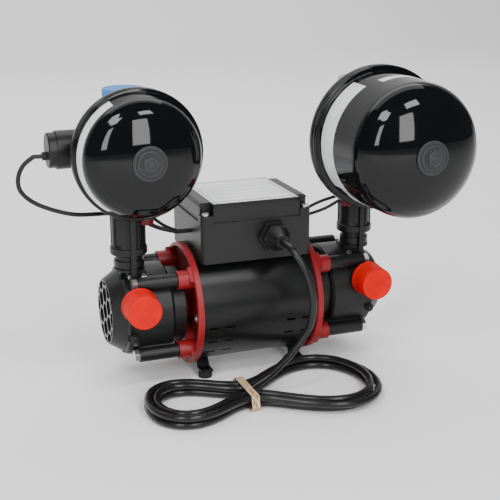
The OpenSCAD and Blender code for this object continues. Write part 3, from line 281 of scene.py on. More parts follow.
def moulded(name, colour, rough=0.36, grain=1500.0, depth=0.00004, edge=0.0005):
    """Moulded plastic: fine spark-eroded grain, flow clouds and rubbed high spots"""
    finish = Finish(name)
    finish.set("Specular IOR Level", 0.32)
    cloud = finish.noise(14.0, 4.0)
    fine = finish.noise(grain, 2.0)
    scuff = finish.noise(60.0, 6.0, 0.7, stretch=(1.0, 1.0, 0.25)).step(0.62, 0.72)
    rubbed = (cloud * 0.6 + scuff * 0.4).step(0.2, 0.8)
    finish.set("Base Color", finish.mix(rubbed, shade(colour, 0.85), shade(colour, 1.3)))
    finish.set("Roughness", rough + cloud * 0.08 - scuff * 0.05)
    finish.set("Normal", finish.bump(fine * 0.8 + cloud * 0.2, depth, finish.rounded(edge) if edge else None))
    return finish


def metal(name, colour, rough=0.3, stretch=(1.0, 1.0, 1.0)):
    """Bare metal with drawn or turned marks"""
    finish = Finish(name, metallic=1.0)
    marks = finish.noise(400.0, 4.0, 0.6, stretch=stretch)
    stain = finish.noise(35.0, 4.0)
    finish.set("Base Color", finish.mix(stain.step(0.4, 0.75), colour, shade(colour, 0.72)))
    finish.set("Roughness", rough - 0.07 + marks * 0.16 + stain * 0.06)
    finish.set("Normal", finish.bump(marks, 0.00003, finish.rounded(0.0003)))
    return finish


def make_paints(colours):
    """Gloss of the vessels, satin of the barrel and red of the castings, with painted shade darkening their
    dish
    """
    painted("vessel_gloss", colours.vessel, 0.05, 0.28, 260.0, 0.000006, edge=0.0, spread=0.02)
    painted("barrel_satin", colours.barrel, 0.30, 0.26, 900.0, 0.00003)
    cast = painted("cast_red", colours.casting, 0.40, 0.35, 700.0, 0.00007, edge=0.0009)
    # Painted shade: the red is darkened over the hollow of each end plate's dish, where shade falls
    dish_floor, dish_radius, fade = 0.0635, 0.0585, 0.002
    hollow = (dish_floor - abs(cast.x)).step(0.0, fade) * (dish_radius - cast.off_shaft()).step(0.0, fade)
    cloud = cast.noise(12.0, 4.0).step(0.3, 0.7)
    red = cast.mix(cloud, shade(colours.casting, 0.84), shade(colours.casting, 1.12))
    cast.set("Base Color", cast.mix(hollow * 0.72, red, shade(colours.casting, 0.12)))


def make_mouldings(colours):
    """Plastics and rubbers"""
    moulded("moulded_black", colours.moulded)
    moulded("plug_black", (0.028, 0.0285, 0.030), 0.42, 900.0, 0.00006, edge=0.0)
    moulded("box_black", colours.moulded, 0.31, 1100.0, 0.00003, edge=0.0007)
    moulded("switch_red", (0.16, 0.010, 0.014), 0.4)
    moulded("impeller_grey", (0.21, 0.215, 0.22), 0.42)
    moulded("rubber", (0.012, 0.012, 0.0125), 0.62, 1800.0, 0.00005)
    moulded("core_blue", (0.02, 0.11, 0.42), 0.33, edge=0.0)
    moulded("core_brown", (0.12, 0.04, 0.012), 0.33, edge=0.0)
    moulded("core_yellow", (0.50, 0.42, 0.06), 0.33, edge=0.0)

    # End covers: the tops of the raised hexagons of the face are painted pale grey, a painted highlight where
    # light catches them
    cover = moulded("cover_black", colours.moulded, 0.33)
    face = abs(cover.x).step(0.14385, 0.14395)
    away = cover.off_shaft().step(0.0318, 0.0312)
    glint_mottle = cover.noise(90.0, 5.0).step(0.25, 0.6)
    # Painted highlight: pale grey over the hexagon tops inside a circle round the shaft, made uneven by noise
    pale = face * away * (0.55 + glint_mottle * 0.45)
    cover.set("Base Color", cover.mix(pale, colours.moulded, (0.34, 0.345, 0.35)))

    # Transit caps: soft plastic that lets a little light in
    for name in ("red_cap", "blue_cap", "grey_cap"):
        colour = getattr(colours, name)
        cap = moulded(name, colour, 0.46, 700.0, 0.00003, edge=0.0)
        cloud = cap.noise(40.0, 3.0)
        cap.set("Base Color", cap.mix(cloud.step(0.3, 0.7), shade(colour, 0.9), shade(colour, 1.07)))
        cap.set("Specular IOR Level", 0.10)
        cap.set("Subsurface Weight", 0.12)
        cap.set("Subsurface Radius", (0.004, 0.001, 0.0006))

    # Sheath of the leads: slight drawing lines and a soft wave of handling marks
    for name, rough in (("lead_sheath", 0.23), ("thin_sheath", 0.34)):
        lead = moulded(name, colours.lead, rough, 420.0, 0.00002, edge=0.0)
        dust = lead.noise(220.0, 5.0, 0.65)
        lead.set("Base Color", lead.mix(dust.step(0.55, 0.8), colours.lead, shade(colours.lead, 2.6)))

    # Rubber band: crimped and dusty
    band = moulded("tie_rubber", colours.tie, 0.62, 500.0, 0.0001, edge=0.0)
    wave = ((band.y + band.z * 0.4) * (math.tau / 0.0016)).sine()
    dust = band.noise(300.0, 4.0).step(0.35, 0.65)
    band.set("Base Color", band.mix(dust, shade(colours.tie, 0.72), shade(colours.tie, 1.12)))
    band.set("Normal", band.bump(wave * 0.5 + band.noise(900.0, 3.0), 0.0002))
    band.set("Subsurface Weight", 0.1)
    band.set("Subsurface Radius", (0.003, 0.0015, 0.0008))

    # Circuit board: green resist on the board, parts grey above it
    board = moulded("board_resist", (0.012, 0.11, 0.03), 0.3)
    above = board.z.step(0.1425, 0.1427)
    tracks = board.noise(160.0, 1.0).step(0.52, 0.54)
    resist = board.mix(tracks, (0.012, 0.10, 0.03), (0.03, 0.20, 0.06))
    board.set("Base Color", board.mix(above, resist, (0.05, 0.052, 0.056)))


def make_metals():
    """Fasteners, shaft, iron and copper"""
    metal("zinc", (0.66, 0.67, 0.66), 0.27)
    metal("ground_steel", (0.62, 0.63, 0.64), 0.22, (0.2, 4.0, 4.0))
    metal("strand_copper", (0.78, 0.36, 0.18), 0.3)
    metal("drawn_can", (0.62, 0.63, 0.64), 0.32, (0.1, 3.0, 3.0))

    # Thin sheets stacked along the shaft
    stack = metal("laminations", (0.30, 0.31, 0.33), 0.42)
    sheet = (stack.x * (math.tau / 0.0005)).sine()
    stack.set("Normal", stack.bump(sheet, 0.00008))

    # Enamelled wire laid round the end turns
    turns = metal("wound_copper", (0.52, 0.17, 0.06), 0.28)
    wires = ((turns.off_shaft() + turns.x * 0.35) * (math.tau / 0.0009)).sine()
    turns.set("Normal", turns.bump(wires, 0.0002))
    turns.set("Coat Weight", 0.5)


def make_labels(colours):
    """Label paper and foil: fibres and clouds, and a border and rules with nothing written in them"""
    paper = Finish("label_paper", coat_weight=0.25, coat_roughness=0.2)
    fibre = paper.noise(700.0, 5.0, 0.6)
    worn = paper.noise(45.0, 4.0)
    cloud = (fibre * 0.5 + worn * 0.5).step(0.35, 0.65)
    paper.set("Base Color", paper.mix(cloud, shade(colours.paper, 0.82), shade(colours.paper, 1.06)))
    paper.set("Roughness", 0.36 + fibre * 0.12)
    paper.set("Normal", paper.bump(fibre * 0.6 + worn * 0.4, 0.00004))

    foil = Finish("rating_foil", metallic=0.1, coat_weight=0.3, coat_roughness=0.15)
    half_width, half_depth, middle = 0.0438, 0.0453, 0.003
    fibre = foil.noise(900.0, 4.0, 0.6, stretch=(0.3, 1.0, 1.0))
    worn = foil.noise(22.0, 4.0)
    across, along = abs(foil.x / half_width), (foil.y - middle) / half_depth
    outer, depth = across.step(0.90, 0.91), abs(along)
    end = depth.step(0.88, 0.89)
    border = (outer - across.step(0.935, 0.945)).most(end - depth.step(0.93, 0.94))
    inside = (1.0 - outer) * (1.0 - end)
    rules = 1.0 - abs((along * (math.pi * 3.5)).sine()).step(0.10, 0.16)
    cloud = (worn * 0.6 + fibre * 0.4).step(0.35, 0.65)
    plain = foil.mix(cloud, shade(colours.plate, 0.84), shade(colours.plate, 1.08))
    foil.set("Base Color", foil.mix((border * 0.75).most(rules * inside * 0.5), plain, (0.12, 0.125, 0.13)))
    foil.set("Roughness", 0.32 + fibre * 0.14)
    foil.set("Normal", foil.bump(fibre, 0.00002))


# Parts of the frame that wear each finish
NODE_FINISH = {
    "barrel_satin": ["motor_barrel", "foot_bracket_left", "foot_bracket_right"],
    "cast_red": ["end_plate_left", "end_plate_right"],
    "moulded_black": ["pump_housing_left", "pump_housing_right", "inlet_ports", "outlet_ports", "gland_body",
                      "gland_nut", "riser_left", "riser_right", "riser_straps", "pressure_switch"],
    "plug_black": ["vessel_plug_left", "vessel_plug_right"],
    "box_black": ["terminal_box", "box_lid"],
    "cover_black": ["end_cover_left", "end_cover_right"],
    "red_cap": ["inlet_cap_left", "inlet_cap_right", "flow_float_left", "flow_float_right"],
    "blue_cap": ["outlet_cap_left"],
    "grey_cap": ["outlet_cap_right"],
    "switch_red": ["flow_switches"],
    "impeller_grey": ["impeller_left", "impeller_right"],
    "rubber": ["shaft_seals", "cover_seals", "rubber_feet", "diaphragm_left", "diaphragm_right"],
    "core_blue": ["core_blue"],
    "core_brown": ["core_brown"],
    "core_yellow": ["core_earth"],
    "zinc": ["tie_rods", "housing_bolts", "lid_screws", "riser_screws"],
    "ground_steel": ["motor_shaft", "bearings"],
    "laminations": ["stator_core", "rotor_core"],
    "wound_copper": ["stator_windings"],
    "drawn_can": ["run_capacitor"],
    "rating_foil": ["rating_plate"],
    "board_resist": ["control_board"],
    "vessel_gloss": ["vessel_front_left", "vessel_front_right", "vessel_back_left", "vessel_back_right"],
    "lead_sheath": ["mains_lead", "cord_hank"],
    "thin_sheath": ["pressure_lead", "flow_leads"],
    "tie_rubber": ["cord_tie"],
}


# ---------------------------------------------------------------- modelling by hand


def clear_selection():
    """Leaves edit mode with nothing selected"""
    if bpy.context.mode != "OBJECT":
        bpy.ops.object.mode_set(mode="OBJECT")
    bpy.ops.object.select_all(action="DESELECT")


def select_only(piece):
    """Makes one piece the selected and the active one"""
    clear_selection()
    piece.select_set(True)
    bpy.context.view_layer.objects.active = piece


def settle(piece, base, along):
    """Puts a piece that was made round the origin in its place, in its mesh"""
    aim = Vector(along).to_track_quat("Z", "Y").to_matrix().to_4x4()
    piece.matrix_world = Matrix.Translation(base) @ aim
    select_only(piece)
    bpy.ops.object.transform_apply(location=True, rotation=True, scale=True)


def smooth(piece, degrees):
    """Shades a piece smooth, except over edges sharper than an angle"""
    select_only(piece)
    bpy.ops.object.shade_smooth_by_angle(angle=math.radians(degrees))


def wear(piece, finish):
    """Gives a piece one finish alone"""
    piece.data.materials.clear()
    piece.data.materials.append(Finish.made[finish].material)


def finished(piece, name, finish, body, replaced=()):
    """Names a piece, gives it its finish and hangs it on its body"""
    piece.name = name
    piece.data.name = name
    wear(piece, finish)
    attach(piece, body)
    if replaced:
        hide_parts(*replaced)
    return piece


def turned(profile, sides=64, closed=False):
    """A circle drawn out ring by ring through (radius, height) steps in millimetres, about the origin"""
    clear_selection()
    radius, height = profile[0]
    bpy.ops.mesh.primitive_circle_add(vertices=sides, radius=radius * MM, location=(0, 0, height * MM))
    piece = bpy.context.object
    bpy.ops.object.transform_apply(location=True, rotation=True, scale=True)
    bpy.ops.object.mode_set(mode="EDIT")
    bpy.ops.mesh.select_all(action="SELECT")
    for next_radius, next_height in profile[1:]:
        rise = (0, 0, (next_height - height) * MM)
        bpy.ops.mesh.extrude_edges_move(TRANSFORM_OT_translate={"value": rise})
        if next_radius != radius:
            ratio = next_radius / radius
            bpy.ops.transform.resize(value=(ratio, ratio, 1), center_override=(0, 0, 0))
        radius, height = next_radius, next_height
    if closed:
        bpy.ops.mesh.select_all(action="SELECT")
        bpy.ops.mesh.remove_doubles(threshold=0.000002)
    else:
        bpy.ops.mesh.edge_face_add()
        bpy.ops.mesh.select_all(action="DESELECT")
        bpy.ops.mesh.select_non_manifold()
        bpy.ops.mesh.edge_face_add()
    bpy.ops.mesh.select_all(action="SELECT")
    bpy.ops.mesh.normals_make_consistent(inside=False)
    bpy.ops.object.mode_set(mode="OBJECT")
    return piece


def corner(centre, radius, first, last, steps=5):
    """Points of an arc in a profile, in millimetres and degrees"""
    turns = [math.radians(first + (last - first) * i / steps) for i in range(steps + 1)]
    return [(centre[0] + radius * math.cos(a), centre[1] + radius * math.sin(a)) for a in turns]


def joined(pieces):
    """Joins pieces into the first of them"""
    select_only(pieces[0])
    for piece in pieces[1:]:
        piece.select_set(True)
    bpy.ops.object.join()
    return pieces[0]


def thickened(piece, thickness):
    """Gives a sheet its thickness on the outside"""
    select_only(piece)
    modifier = piece.modifiers.new("Solidify", "SOLIDIFY")
    modifier.thickness = thickness
    modifier.offset = 1.0
    bpy.ops.object.modifier_apply(modifier=modifier.name)


def keep_faces(piece, wanted):
    """Deletes the faces of a piece whose middle isn't wanted"""
    select_only(piece)
    bpy.ops.object.mode_set(mode="EDIT")
    bpy.ops.mesh.select_mode(type="FACE")
    bpy.ops.mesh.select_all(action="DESELECT")
    bpy.ops.object.mode_set(mode="OBJECT")
    for polygon in piece.data.polygons:
        polygon.select = not wanted(polygon.center)
    bpy.ops.object.mode_set(mode="EDIT")
    bpy.ops.mesh.delete(type="FACE")
    bpy.ops.mesh.select_mode(type="VERT")
    bpy.ops.object.mode_set(mode="OBJECT")


# ---------------------------------------------------------------- routes of the leads, in millimetres

CORD_WIDTH, TIE_THICK, TIE_GAP = 7.0, 1.0, 0.2
HANK_X, HANK_Y, HANK_LOOPS, HANK_TAIL = -32.0, -101.0, 3.5, 0.042
HANK_LEFT, HANK_RIGHT, HANK_GROW = 100.0, 133.0, 8.0
HANK_INNER, HANK_STEP, HANK_WAIST, HANK_LAYER = 4.3, 10.5, 34.0, 7.6
HANK_ROUND, HANK_ROUND_GROW = 1.35, 18.0
HANK_POINTS, LEAD_POINTS, THIN_POINTS, CORE_POINTS = 72, 12, 8, 6
LEAD_ROUTE = [(16, -72.5, 147.5), (16, -80, 147.5), (18, -92, 144.5), (24, -101, 133), (30, -105, 118),
              (33, -108, 101), (33, -109, 86), (29, -109, 71), (21, -108, 57), (11, -106, 44), (0, -102, 31),
              (-10, -99, 21)]
PRESSURE_START = (-(COLUMN_X + 78.5), COLUMN_Y, VESSEL_UP - 5)
PRESSURE_BEND = [(-8, 0), (-18, -8), (-23, -20), (-21, -32), (-10, -43), (8, -52), (28, -58)]
PRESSURE_END = [(-150, -6, 174), (-138, 4, 171), (-122, 9.5, 167), (-104, 8, 160), (-85, 5, 151), (-68, 3, 146),
                (-57, 3, 146)]
FLOW_ROUTES = {
    "flow_lead_left": [(-102.5, -24.1, 170), (-98, -19.6, 169), (-86, -14, 159), (-70, -11, 150),
                       (-57, -11, 150)],
    "flow_lead_right": [(102.5, -24.1, 169), (98, -19.6, 168), (86, -14, 160), (68, -10, 154),
                        (57, -10, 154)],
    "flow_lead_upper": [(102.5, -24.1, 175), (98, -19.6, 174), (84, -7, 166), (68, -3, 158),
                        (57, -3, 158)],
}


def spline(a, b, c, d, t):
    """A point between b and c of a smooth curve through four"""
    return 0.5 * (2 * b + (c - a) * t + (2 * a - 5 * b + 4 * c - d) * t * t
                  + (3 * b - a - 3 * c + d) * t * t * t)


def eased_way(points, steps):
    """A smooth way through points, straight over its first and last stretch"""
    inner = [Vector(p) for p in points[1:-1]]
    way = [Vector(points[0])]
    for i in range(len(inner) - 1):
        near = [inner[max(i - 1, 0)], inner[i], inner[i + 1], inner[min(i + 2, len(inner) - 1)]]
        way += [spline(*near, s / steps) for s in range(steps)]
    return way + [inner[-1], Vector(points[-1])]


def hank_point(u):
    """A point of the hank: figures of eight that grow outwards, step down a layer and draw in at the waist

    u counts loops from the innermost of the top layer.
    """
    half = HANK_LOOPS / 2
    k = half - abs(u - half)
    t = min(max((u - half + 0.25) * 2, 0.0), 1.0)
    lay = 1 - t * t * (3 - 2 * t)
    s, c = math.sin(math.tau * u), math.cos(math.tau * u)
    reach = HANK_LEFT if s > 0 else HANK_RIGHT
    a = reach + HANK_GROW * (k - half)
    q = HANK_ROUND * reach + HANK_ROUND_GROW * (k - half)
    swell = q * abs(s * c) / (1 + c * c)
    waist = (HANK_INNER + HANK_STEP * k - HANK_WAIST) * c * c
    side = math.sqrt((HANK_WAIST * c * c) ** 2 + swell * swell) + waist
    sign = (c > 0) - (c < 0)
    low = TIE_THICK + TIE_GAP + CORD_WIDTH / 2
    return Vector((HANK_X - a * s / (1 + c * c), HANK_Y + sign * side, low + lay * HANK_LAYER))


def lead_way():
    """The whole mains lead: down from the gland, along the floor and round the hank"""
    count = round((HANK_LOOPS + HANK_TAIL) * HANK_POINTS)
    hank = [hank_point(i / HANK_POINTS) for i in range(count + 1)]
    first = (hank[1] - hank[0]).normalized()
    start = hank[0] - first * CORD_WIDTH * 1.2
    return eased_way(LEAD_ROUTE + [tuple(start), tuple(hank[0])], LEAD_POINTS)[:-1] + hank


def length_of(way):
    """Length of a way, in metres"""
    return sum((b - a).length for a, b in zip(way, way[1:])) * MM


def curved(name, points, radius, sides):
    """A round line through points in metres, as a new curve object, and its run of points"""
    line = bpy.data.curves.new(name, "CURVE")
    line.dimensions = "3D"
    line.bevel_depth = radius
    line.bevel_resolution = sides
    run = line.splines.new("POLY")
    run.points.add(len(points) - 1)
    for point, place in zip(run.points, points):
        point.co = (*place, 1.0)
    piece = bpy.data.objects.new(name, line)
    bpy.context.scene.collection.objects.link(piece)
    return piece, run


def drawn(name, way, width, finish, replaced, sides=6):
    """A lead as a curve of one open spline along its way"""
    piece, run = curved(name, [place * MM for place in way], width / 2, sides)
    piece.data.use_fill_caps = True
    run.use_smooth = True
    return finished(piece, name, finish, "pump", replaced)


# ---------------------------------------------------------------- one operator for each group of pieces


class PUMP_OT_camera(bpy.types.Operator):
    """Sets the camera where the photograph was taken from"""

    bl_idname = "pump.camera"
    bl_label = "Camera"

    def execute(self, context):
        lens = bpy.data.cameras.new("Camera")
        lens.lens, lens.sensor_width = CAMERA_LENS, CAMERA_SENSOR
        lens.clip_start, lens.clip_end = 0.05, 50.0
        camera = bpy.data.objects.new("Camera", lens)
        context.scene.collection.objects.link(camera)
        camera.location = CAMERA_PLACE
        camera.rotation_euler = (math.radians(90 - CAMERA_DIP), 0, math.radians(CAMERA_TURN))
        context.scene.camera = camera
        return {"FINISHED"}


# Cores of the mains lead: name, slot and node, place round the sheath in degrees,
# then spread and rise in millimetres
CORES = [("core_blue", "core_blue", 210, -5, -1), ("core_brown", "core_brown", 90, 4, 5),
         ("core_yellow", "core_earth", 330, 12, 0)]
CORE_LENGTH = 38
CORE_FAN = [(0, 0), (0.15, 0), (0.35, 0.1), (0.6, 0.45), (0.85, 0.85), (1, 1)]
CORE_PITCH = 0.66
STRIPPED_POINTS = 4
STRAND_SHARE = 0.6

# Turns of the rubber band: place along the waist in millimetres, and how much each stands off,
# then how the band widens, wanders and rises
BAND_TURNS = [(-3.0, 0.0), (-1.0, 0.12), (1.0, 0.0), (3.0, 0.1)]
BAND_SPREAD = 1.9
BAND_WANDER = 0.25
BAND_RISE = 0.02
BAND_SIDES = 3
FLOOR_GAP = 0.0006


class PUMP_OT_leads(bpy.types.Operator):
    """Draws the mains lead with its hank, its cores, and the thin leads of the switches"""

    bl_idname = "pump.leads"
    bl_label = "Leads"

    def execute(self, context):
        sizes = context.scene.pump_sizes
        way = lead_way()
        lead = drawn("mains_cord", way, sizes.cord_width, "lead_sheath",
                     ["mains_lead", "cord_hank"], sides=8)
        pieces = self.cores(way, sizes) + [self.tie()]
        way[0] * 0.001
        length_of(way)
        stub = Vector(PRESSURE_START)
        bend = [tuple(stub + Vector((x, 0, z))) for x, z in PRESSURE_BEND]
        way = eased_way([tuple(stub)] + bend + PRESSURE_END, THIN_POINTS)
        thin = drawn("pressure_cord", way, sizes.pressure_width, "thin_sheath", ["pressure_lead"])
        way[0] * 0.001
        length_of(way)
        for name, points in FLOW_ROUTES.items():
            way = eased_way(points, THIN_POINTS)
            thin = drawn(name, way, sizes.flow_width, "thin_sheath", ["flow_leads"])
            way[0] * 0.001
            length_of(way)
        return {"FINISHED"}

    def cores(self, way, sizes):
        """Three cores fan out of the cut sheath, each with a stripped copper end"""
        end, ahead = way[-1], (way[-1] - way[-2]).normalized()
        side = (Vector(UP) - ahead * ahead.z).normalized()
        across = ahead.cross(side)
        width = sizes.core_width
        off_middle = width * PER_METRE * CORE_PITCH
        made = []
        for name, slot, turn, spread, rise in CORES:
            a = math.radians(turn)
            start = end + off_middle * (side * math.sin(a) + across * math.cos(a))
            fan = across * spread + side * rise
            places = [tuple(start + ahead * CORE_LENGTH * p + fan * q) for p, q in CORE_FAN]
            line = eased_way(places, CORE_POINTS)
            stripped = len(line) - STRIPPED_POINTS
            sheath, strands = line[:stripped + 1], line[stripped:]
            made.append(drawn(name + "_sheath", sheath, width, name, [slot]))
            thin = width * STRAND_SHARE
            made.append(drawn(name + "_strands", strands, thin, "strand_copper", [slot]))
        return made

    def tie(self):
        """A rubber band wound four times round the waist of the hank"""
        half_high = (HANK_LAYER + CORD_WIDTH) / 2 + TIE_GAP
        half_wide = HANK_INNER + HANK_STEP * HANK_LOOPS / 2 + CORD_WIDTH / 2 + 1
        out = half_high + TIE_THICK / 2
        turns = [math.radians(degrees) for degrees in range(0, 181, 12)]
        ring = [(math.cos(a) * out, (half_wide - half_high) + math.sin(a) * out) for a in turns]
        ring += [(-z, -y) for z, y in ring]
        strands = []
        for i, (along, lift) in enumerate(BAND_TURNS):
            x, points = HANK_X + along, []
            for n, (z, y) in enumerate(ring):
                wander = BAND_WANDER * math.sin(n * 0.7 + i * 2.1)
                height = (TIE_THICK + half_high + z * (1 + lift * BAND_RISE)) * MM
                points.append(((x + wander) * MM, (HANK_Y + y) * MM, max(FLOOR_GAP, height)))
            strand, run = curved("band", points, TIE_THICK / 2 * MM, BAND_SIDES)
            run.use_cyclic_u = True
            select_only(strand)
            bpy.ops.object.convert(target="MESH")
            strand = bpy.context.object
            widen = Matrix.Diagonal((BAND_SPREAD, 1, 1, 1))
            there, back = Matrix.Translation((x * MM, 0, 0)), Matrix.Translation((-x * MM, 0, 0))
            strand.data.transform(there @ widen @ back)
            strands.append(strand)
        band = joined(strands)
        smooth(band, 60)
        return finished(band, "hank_band", "tie_rubber", "pump", ["cord_tie"])


# Vessels: side of the pump, then in millimetres the radii of the flange and of both ends of the wall,
# the distance from the flange to the dome, and the depth of the dome
VESSELS = {
    "left": (-1, 60.8, 57.4, 54.3, 25.0, 24.2),
    "right": (1, 71.0, 65.0, 63.5, 78.0, 35.2),
}
SHEET = 1.6
BEAD = 1.4
SEAM_GAP = 0.8
RIM_AT = SEAM_AT + 5.0
WALL_AT = SEAM_AT + 7.0
FOOT_UP = 1.8
DOME_HOLE = 15.0
PLUG_SEAT = 15.9
NECK = 14.0
NECK_STEP = 2.5
SPOUT = 6.2
SPOUT_DEEP = 4.2
PAPER_GAP = 0.15
SHELL_ANGLE = 40


def dome(shell, start, depth, steps=28):
    """The profile of a dome from its rim to its hole, in millimetres, with a faint forming ring"""
    last = math.acos(DOME_HOLE / shell)
    ring_at, ring_depth, ring_width = shell * 0.87, 0.35, 1.6
    points = []
    for i in range(steps + 1):
        a = last * i / steps
        ring = ring_depth * math.exp(-((shell * math.cos(a) - ring_at) / ring_width) ** 2)
        points.append((shell * math.cos(a), start + depth * math.sin(a) - ring))
    return points


class PUMP_OT_vessels(bpy.types.Operator):
    """Spins the shells of both expansion vessels, their crimped seams, plugs and paper labels"""

    bl_idname = "pump.vessels"
    bl_label = "Vessels"

    def execute(self, context):
        for name, form in VESSELS.items():
            self.vessel(context, name, *form)
        return {"FINISHED"}

    def vessel(self, context, name, side, flange, shoulder, shell, length, depth):
        """Both shells of a vessel, then what sits on them"""
        sizes = context.scene.pump_sizes
        rounding = sizes.seam_round * PER_METRE
        base = at(side * COLUMN_X, 0, VESSEL_UP)
        start = FLANGE_AT + length
        front = self.front(flange, shoulder, shell, start, depth, rounding)
        self.spun(front, base, sizes, f"vessel_shell_{name}", f"vessel_front_{name}")
        back = self.back(flange, shell, rounding)
        self.spun(back, base, sizes, f"vessel_rear_{name}", f"vessel_back_{name}")
        self.plug(base, name, start + depth * math.sqrt(1 - (PLUG_SEAT / shell) ** 2))
        self.labels(base, side, shoulder, shell, start, sizes)

    def front(self, flange, shoulder, shell, start, depth, rounding):
        """Front shell: its bead over the seam, a step down to the wall, and the dome"""
        inner, foot = shell - SHEET, SEAM_AT + SEAM_GAP
        outline = [(inner, foot), (flange - SHEET, foot)]
        outline += corner((flange - SHEET, foot + BEAD), BEAD, -90, 0)[1:]
        outline += corner((flange - rounding, RIM_AT - rounding), rounding, 0, 90)
        outline += corner((shoulder + SHEET, RIM_AT + FOOT_UP), SHEET, 270, 180)
        outline += dome(shell, start, depth)
        return outline + list(reversed(dome(inner, start, depth - SHEET))) + [outline[0]]

    def back(self, flange, shell, rounding):
        """Back shell: its own bead, then a shallow dome to the neck"""
        inner, foot = shell - SHEET, SEAM_AT - SEAM_GAP
        top, rise = flange - 2 - rounding, FLANGE_AT - BRANCH_AT - NECK_STEP
        last = math.acos(NECK / top)

        def shallow(radius, edge, steps):
            turns = [last * i / steps for i in range(steps + 1)]
            return [(radius * math.cos(a), edge - rise * math.sin(a)) for a in turns]

        outline = [(inner, foot), (flange - SHEET, foot)]
        outline += corner((flange - SHEET, foot - BEAD), BEAD, 90, 0)[1:]
        outline += corner((flange - rounding, FLANGE_AT + rounding), rounding, 0, -90)
        outline += shallow(top, FLANGE_AT, 20)
        outline += [(NECK, BRANCH_AT), (SPOUT, BRANCH_AT)]
        outline += [(SPOUT, BRANCH_AT + SPOUT_DEEP), (NECK + SHEET, BRANCH_AT + SPOUT_DEEP)]
        outline += list(reversed(shallow(top - SHEET, FLANGE_AT + SHEET, 12)[:-1]))
        return outline + [outline[0]]

    def spun(self, outline, base, sizes, name, node):
        """A shell from its outline, in gloss paint"""
        piece = turned(outline, sizes.vessel_sides, closed=True)
        settle(piece, base, FORWARD)
        smooth(piece, SHELL_ANGLE)
        finished(piece, name, "vessel_gloss", "pump", [node])

    def plug(self, base, name, seat):
        """Stepped plug with a raised hexagon"""
        outline = [(9.0, seat - 8.0), (9.0, seat + 0.1), (15.2, seat + 0.1)]
        outline += corner((15.2, seat + 0.8), 0.7, -90, 0, 3)[1:] + corner((15.0, seat + 1.5), 0.9, 0, 90, 3)
        outline += [(13.6, seat + 2.4), (13.3, seat + 2.0), (12.6, seat + 2.0), (12.3, seat + 2.5)]
        outline += corner((11.2, seat + 2.5), 0.9, 0, 90, 3)
        outline += [(9.9, seat + 3.4), (9.6, seat + 3.1), (9.0, seat + 3.1), (8.7, seat + 4.0)]
        body = turned(outline, 72)
        hexagon = [(7.3, 3.9), (7.6, 4.2), (7.6, 5.2), (7.0, 5.6), (4.4, 5.6), (4.0, 5.1)]
        head = turned([(radius, seat + height) for radius, height in hexagon], 6)
        piece = joined([body, head])
        settle(piece, base, FORWARD)
        smooth(piece, 28)
        finished(piece, f"plug_face_{name}", "plug_black", "pump", [f"vessel_plug_{name}"])

    def labels(self, base, side, shoulder, shell, start, sizes):
        """Paper labels round the shell: angles from the top towards the left, and distances in front"""
        def wall(d):
            return shoulder + (shell - shoulder) * (d - WALL_AT) / (start - WALL_AT) + PAPER_GAP

        if side < 0:
            strips = [("label_strip_left", 28, 146, WALL_AT + 0.6, start - 0.4)]
        else:
            strips = [("label_strip_right", 30, 130, WALL_AT + 2.0, WALL_AT + 27.0),
                      ("label_top_right", -60, 19, WALL_AT + 27.5, WALL_AT + 38.0),
                      ("label_small_right", 140, 156, WALL_AT + 14.0, WALL_AT + 30.0)]
        for name, first, last, low, high in strips:
            self.label(base, wall, name, first, last, low, high, sizes)

    def label(self, base, wall, name, first, last, low, high, sizes):
        """A strip of paper bent round the shell"""
        steps = [low + (high - low) * i / 4 for i in range(5)]
        piece = turned([(wall(d), d) for d in steps], 288)
        settle(piece, base, FORWARD)
        # The faces that close the ends of the turned ring lie nearer to the middle than this
        ring = wall(high) * 0.99 * MM

        def wanted(middle):
            x, z = middle.x - base.x, middle.z - base.z
            return math.hypot(x, z) > ring and first < math.degrees(math.atan2(-x, z)) < last

        keep_faces(piece, wanted)
        thickened(piece, sizes.paper)
        smooth(piece, SHELL_ANGLE)
        finished(piece, name, "label_paper", "pump")


# Transit caps in millimetres: inner and outer radius of each kind, and the height of all
INLET_CAP = (13.5, 16.9)
OUTLET_CAP = (16.9, 20.3)
CAP_HEIGHT = 24.4
INLET_REACH = -46.7
OUTLET_UP = 270.0


class PUMP_OT_caps(bpy.types.Operator):
    """Turns the transit caps of the inlets and outlets"""

    bl_idname = "pump.caps"
    bl_label = "Transit caps"

    def execute(self, context):
        rounding = context.scene.pump_sizes.cap_round * PER_METRE
        for side, name, colour in ((-1, "left", "blue"), (1, "right", "grey")):
            base = at(side * COLUMN_X, INLET_REACH, INLET_UP)
            self.cap(base, FORWARD, *INLET_CAP, rounding, f"inlet_cap_{name}", "red")
            base = at(side * COLUMN_X, COLUMN_Y, OUTLET_UP)
            self.cap(base, UP, *OUTLET_CAP, rounding, f"outlet_cap_{name}", colour)
        return {"FINISHED"}

    def cap(self, base, along, inner, outer, rounding, name, colour):
        """A cap: rim bead, a wall drawn in a little, rounded edge, a shallow dish and the hollow inside"""
        height, wall_from, draft = CAP_HEIGHT, 3.9, 0.12
        outline = [(inner, 0.0), (inner + 0.6, 0.0)] + corner((outer + 0.2, 0.5), 0.5, -90, 0, 3)
        outline += corner((outer + 0.2, 2.4), 0.5, 0, 90, 3) + [(outer + 0.1, 3.4), (outer, wall_from)]
        rise = height - wall_from - rounding
        outline += [(outer - draft * i, wall_from + rise * i / 3) for i in (1, 2, 3)]
        last = outer - 3 * draft - rounding
        outline += corner((last, height - rounding), rounding, 0, 90, 6)[1:]
        outline += [(last - 1.2, height), (last - 1.9, height - 0.25), (last - 2.8, height - 0.3)]
        outline += [(2.6, height - 0.3), (2.2, height - 0.7), (0.8, height - 0.75), (0.05, height - 0.75)]
        outline += [(0.05, height - 2.4), (inner - 1.0, height - 2.4), (inner, height - 3.2), (inner, 0.0)]
        piece = turned(outline, 96, closed=True)
        settle(piece, base, along)
        smooth(piece, 30)
        finished(piece, f"{name}_moulding", f"{colour}_cap", name, [name])


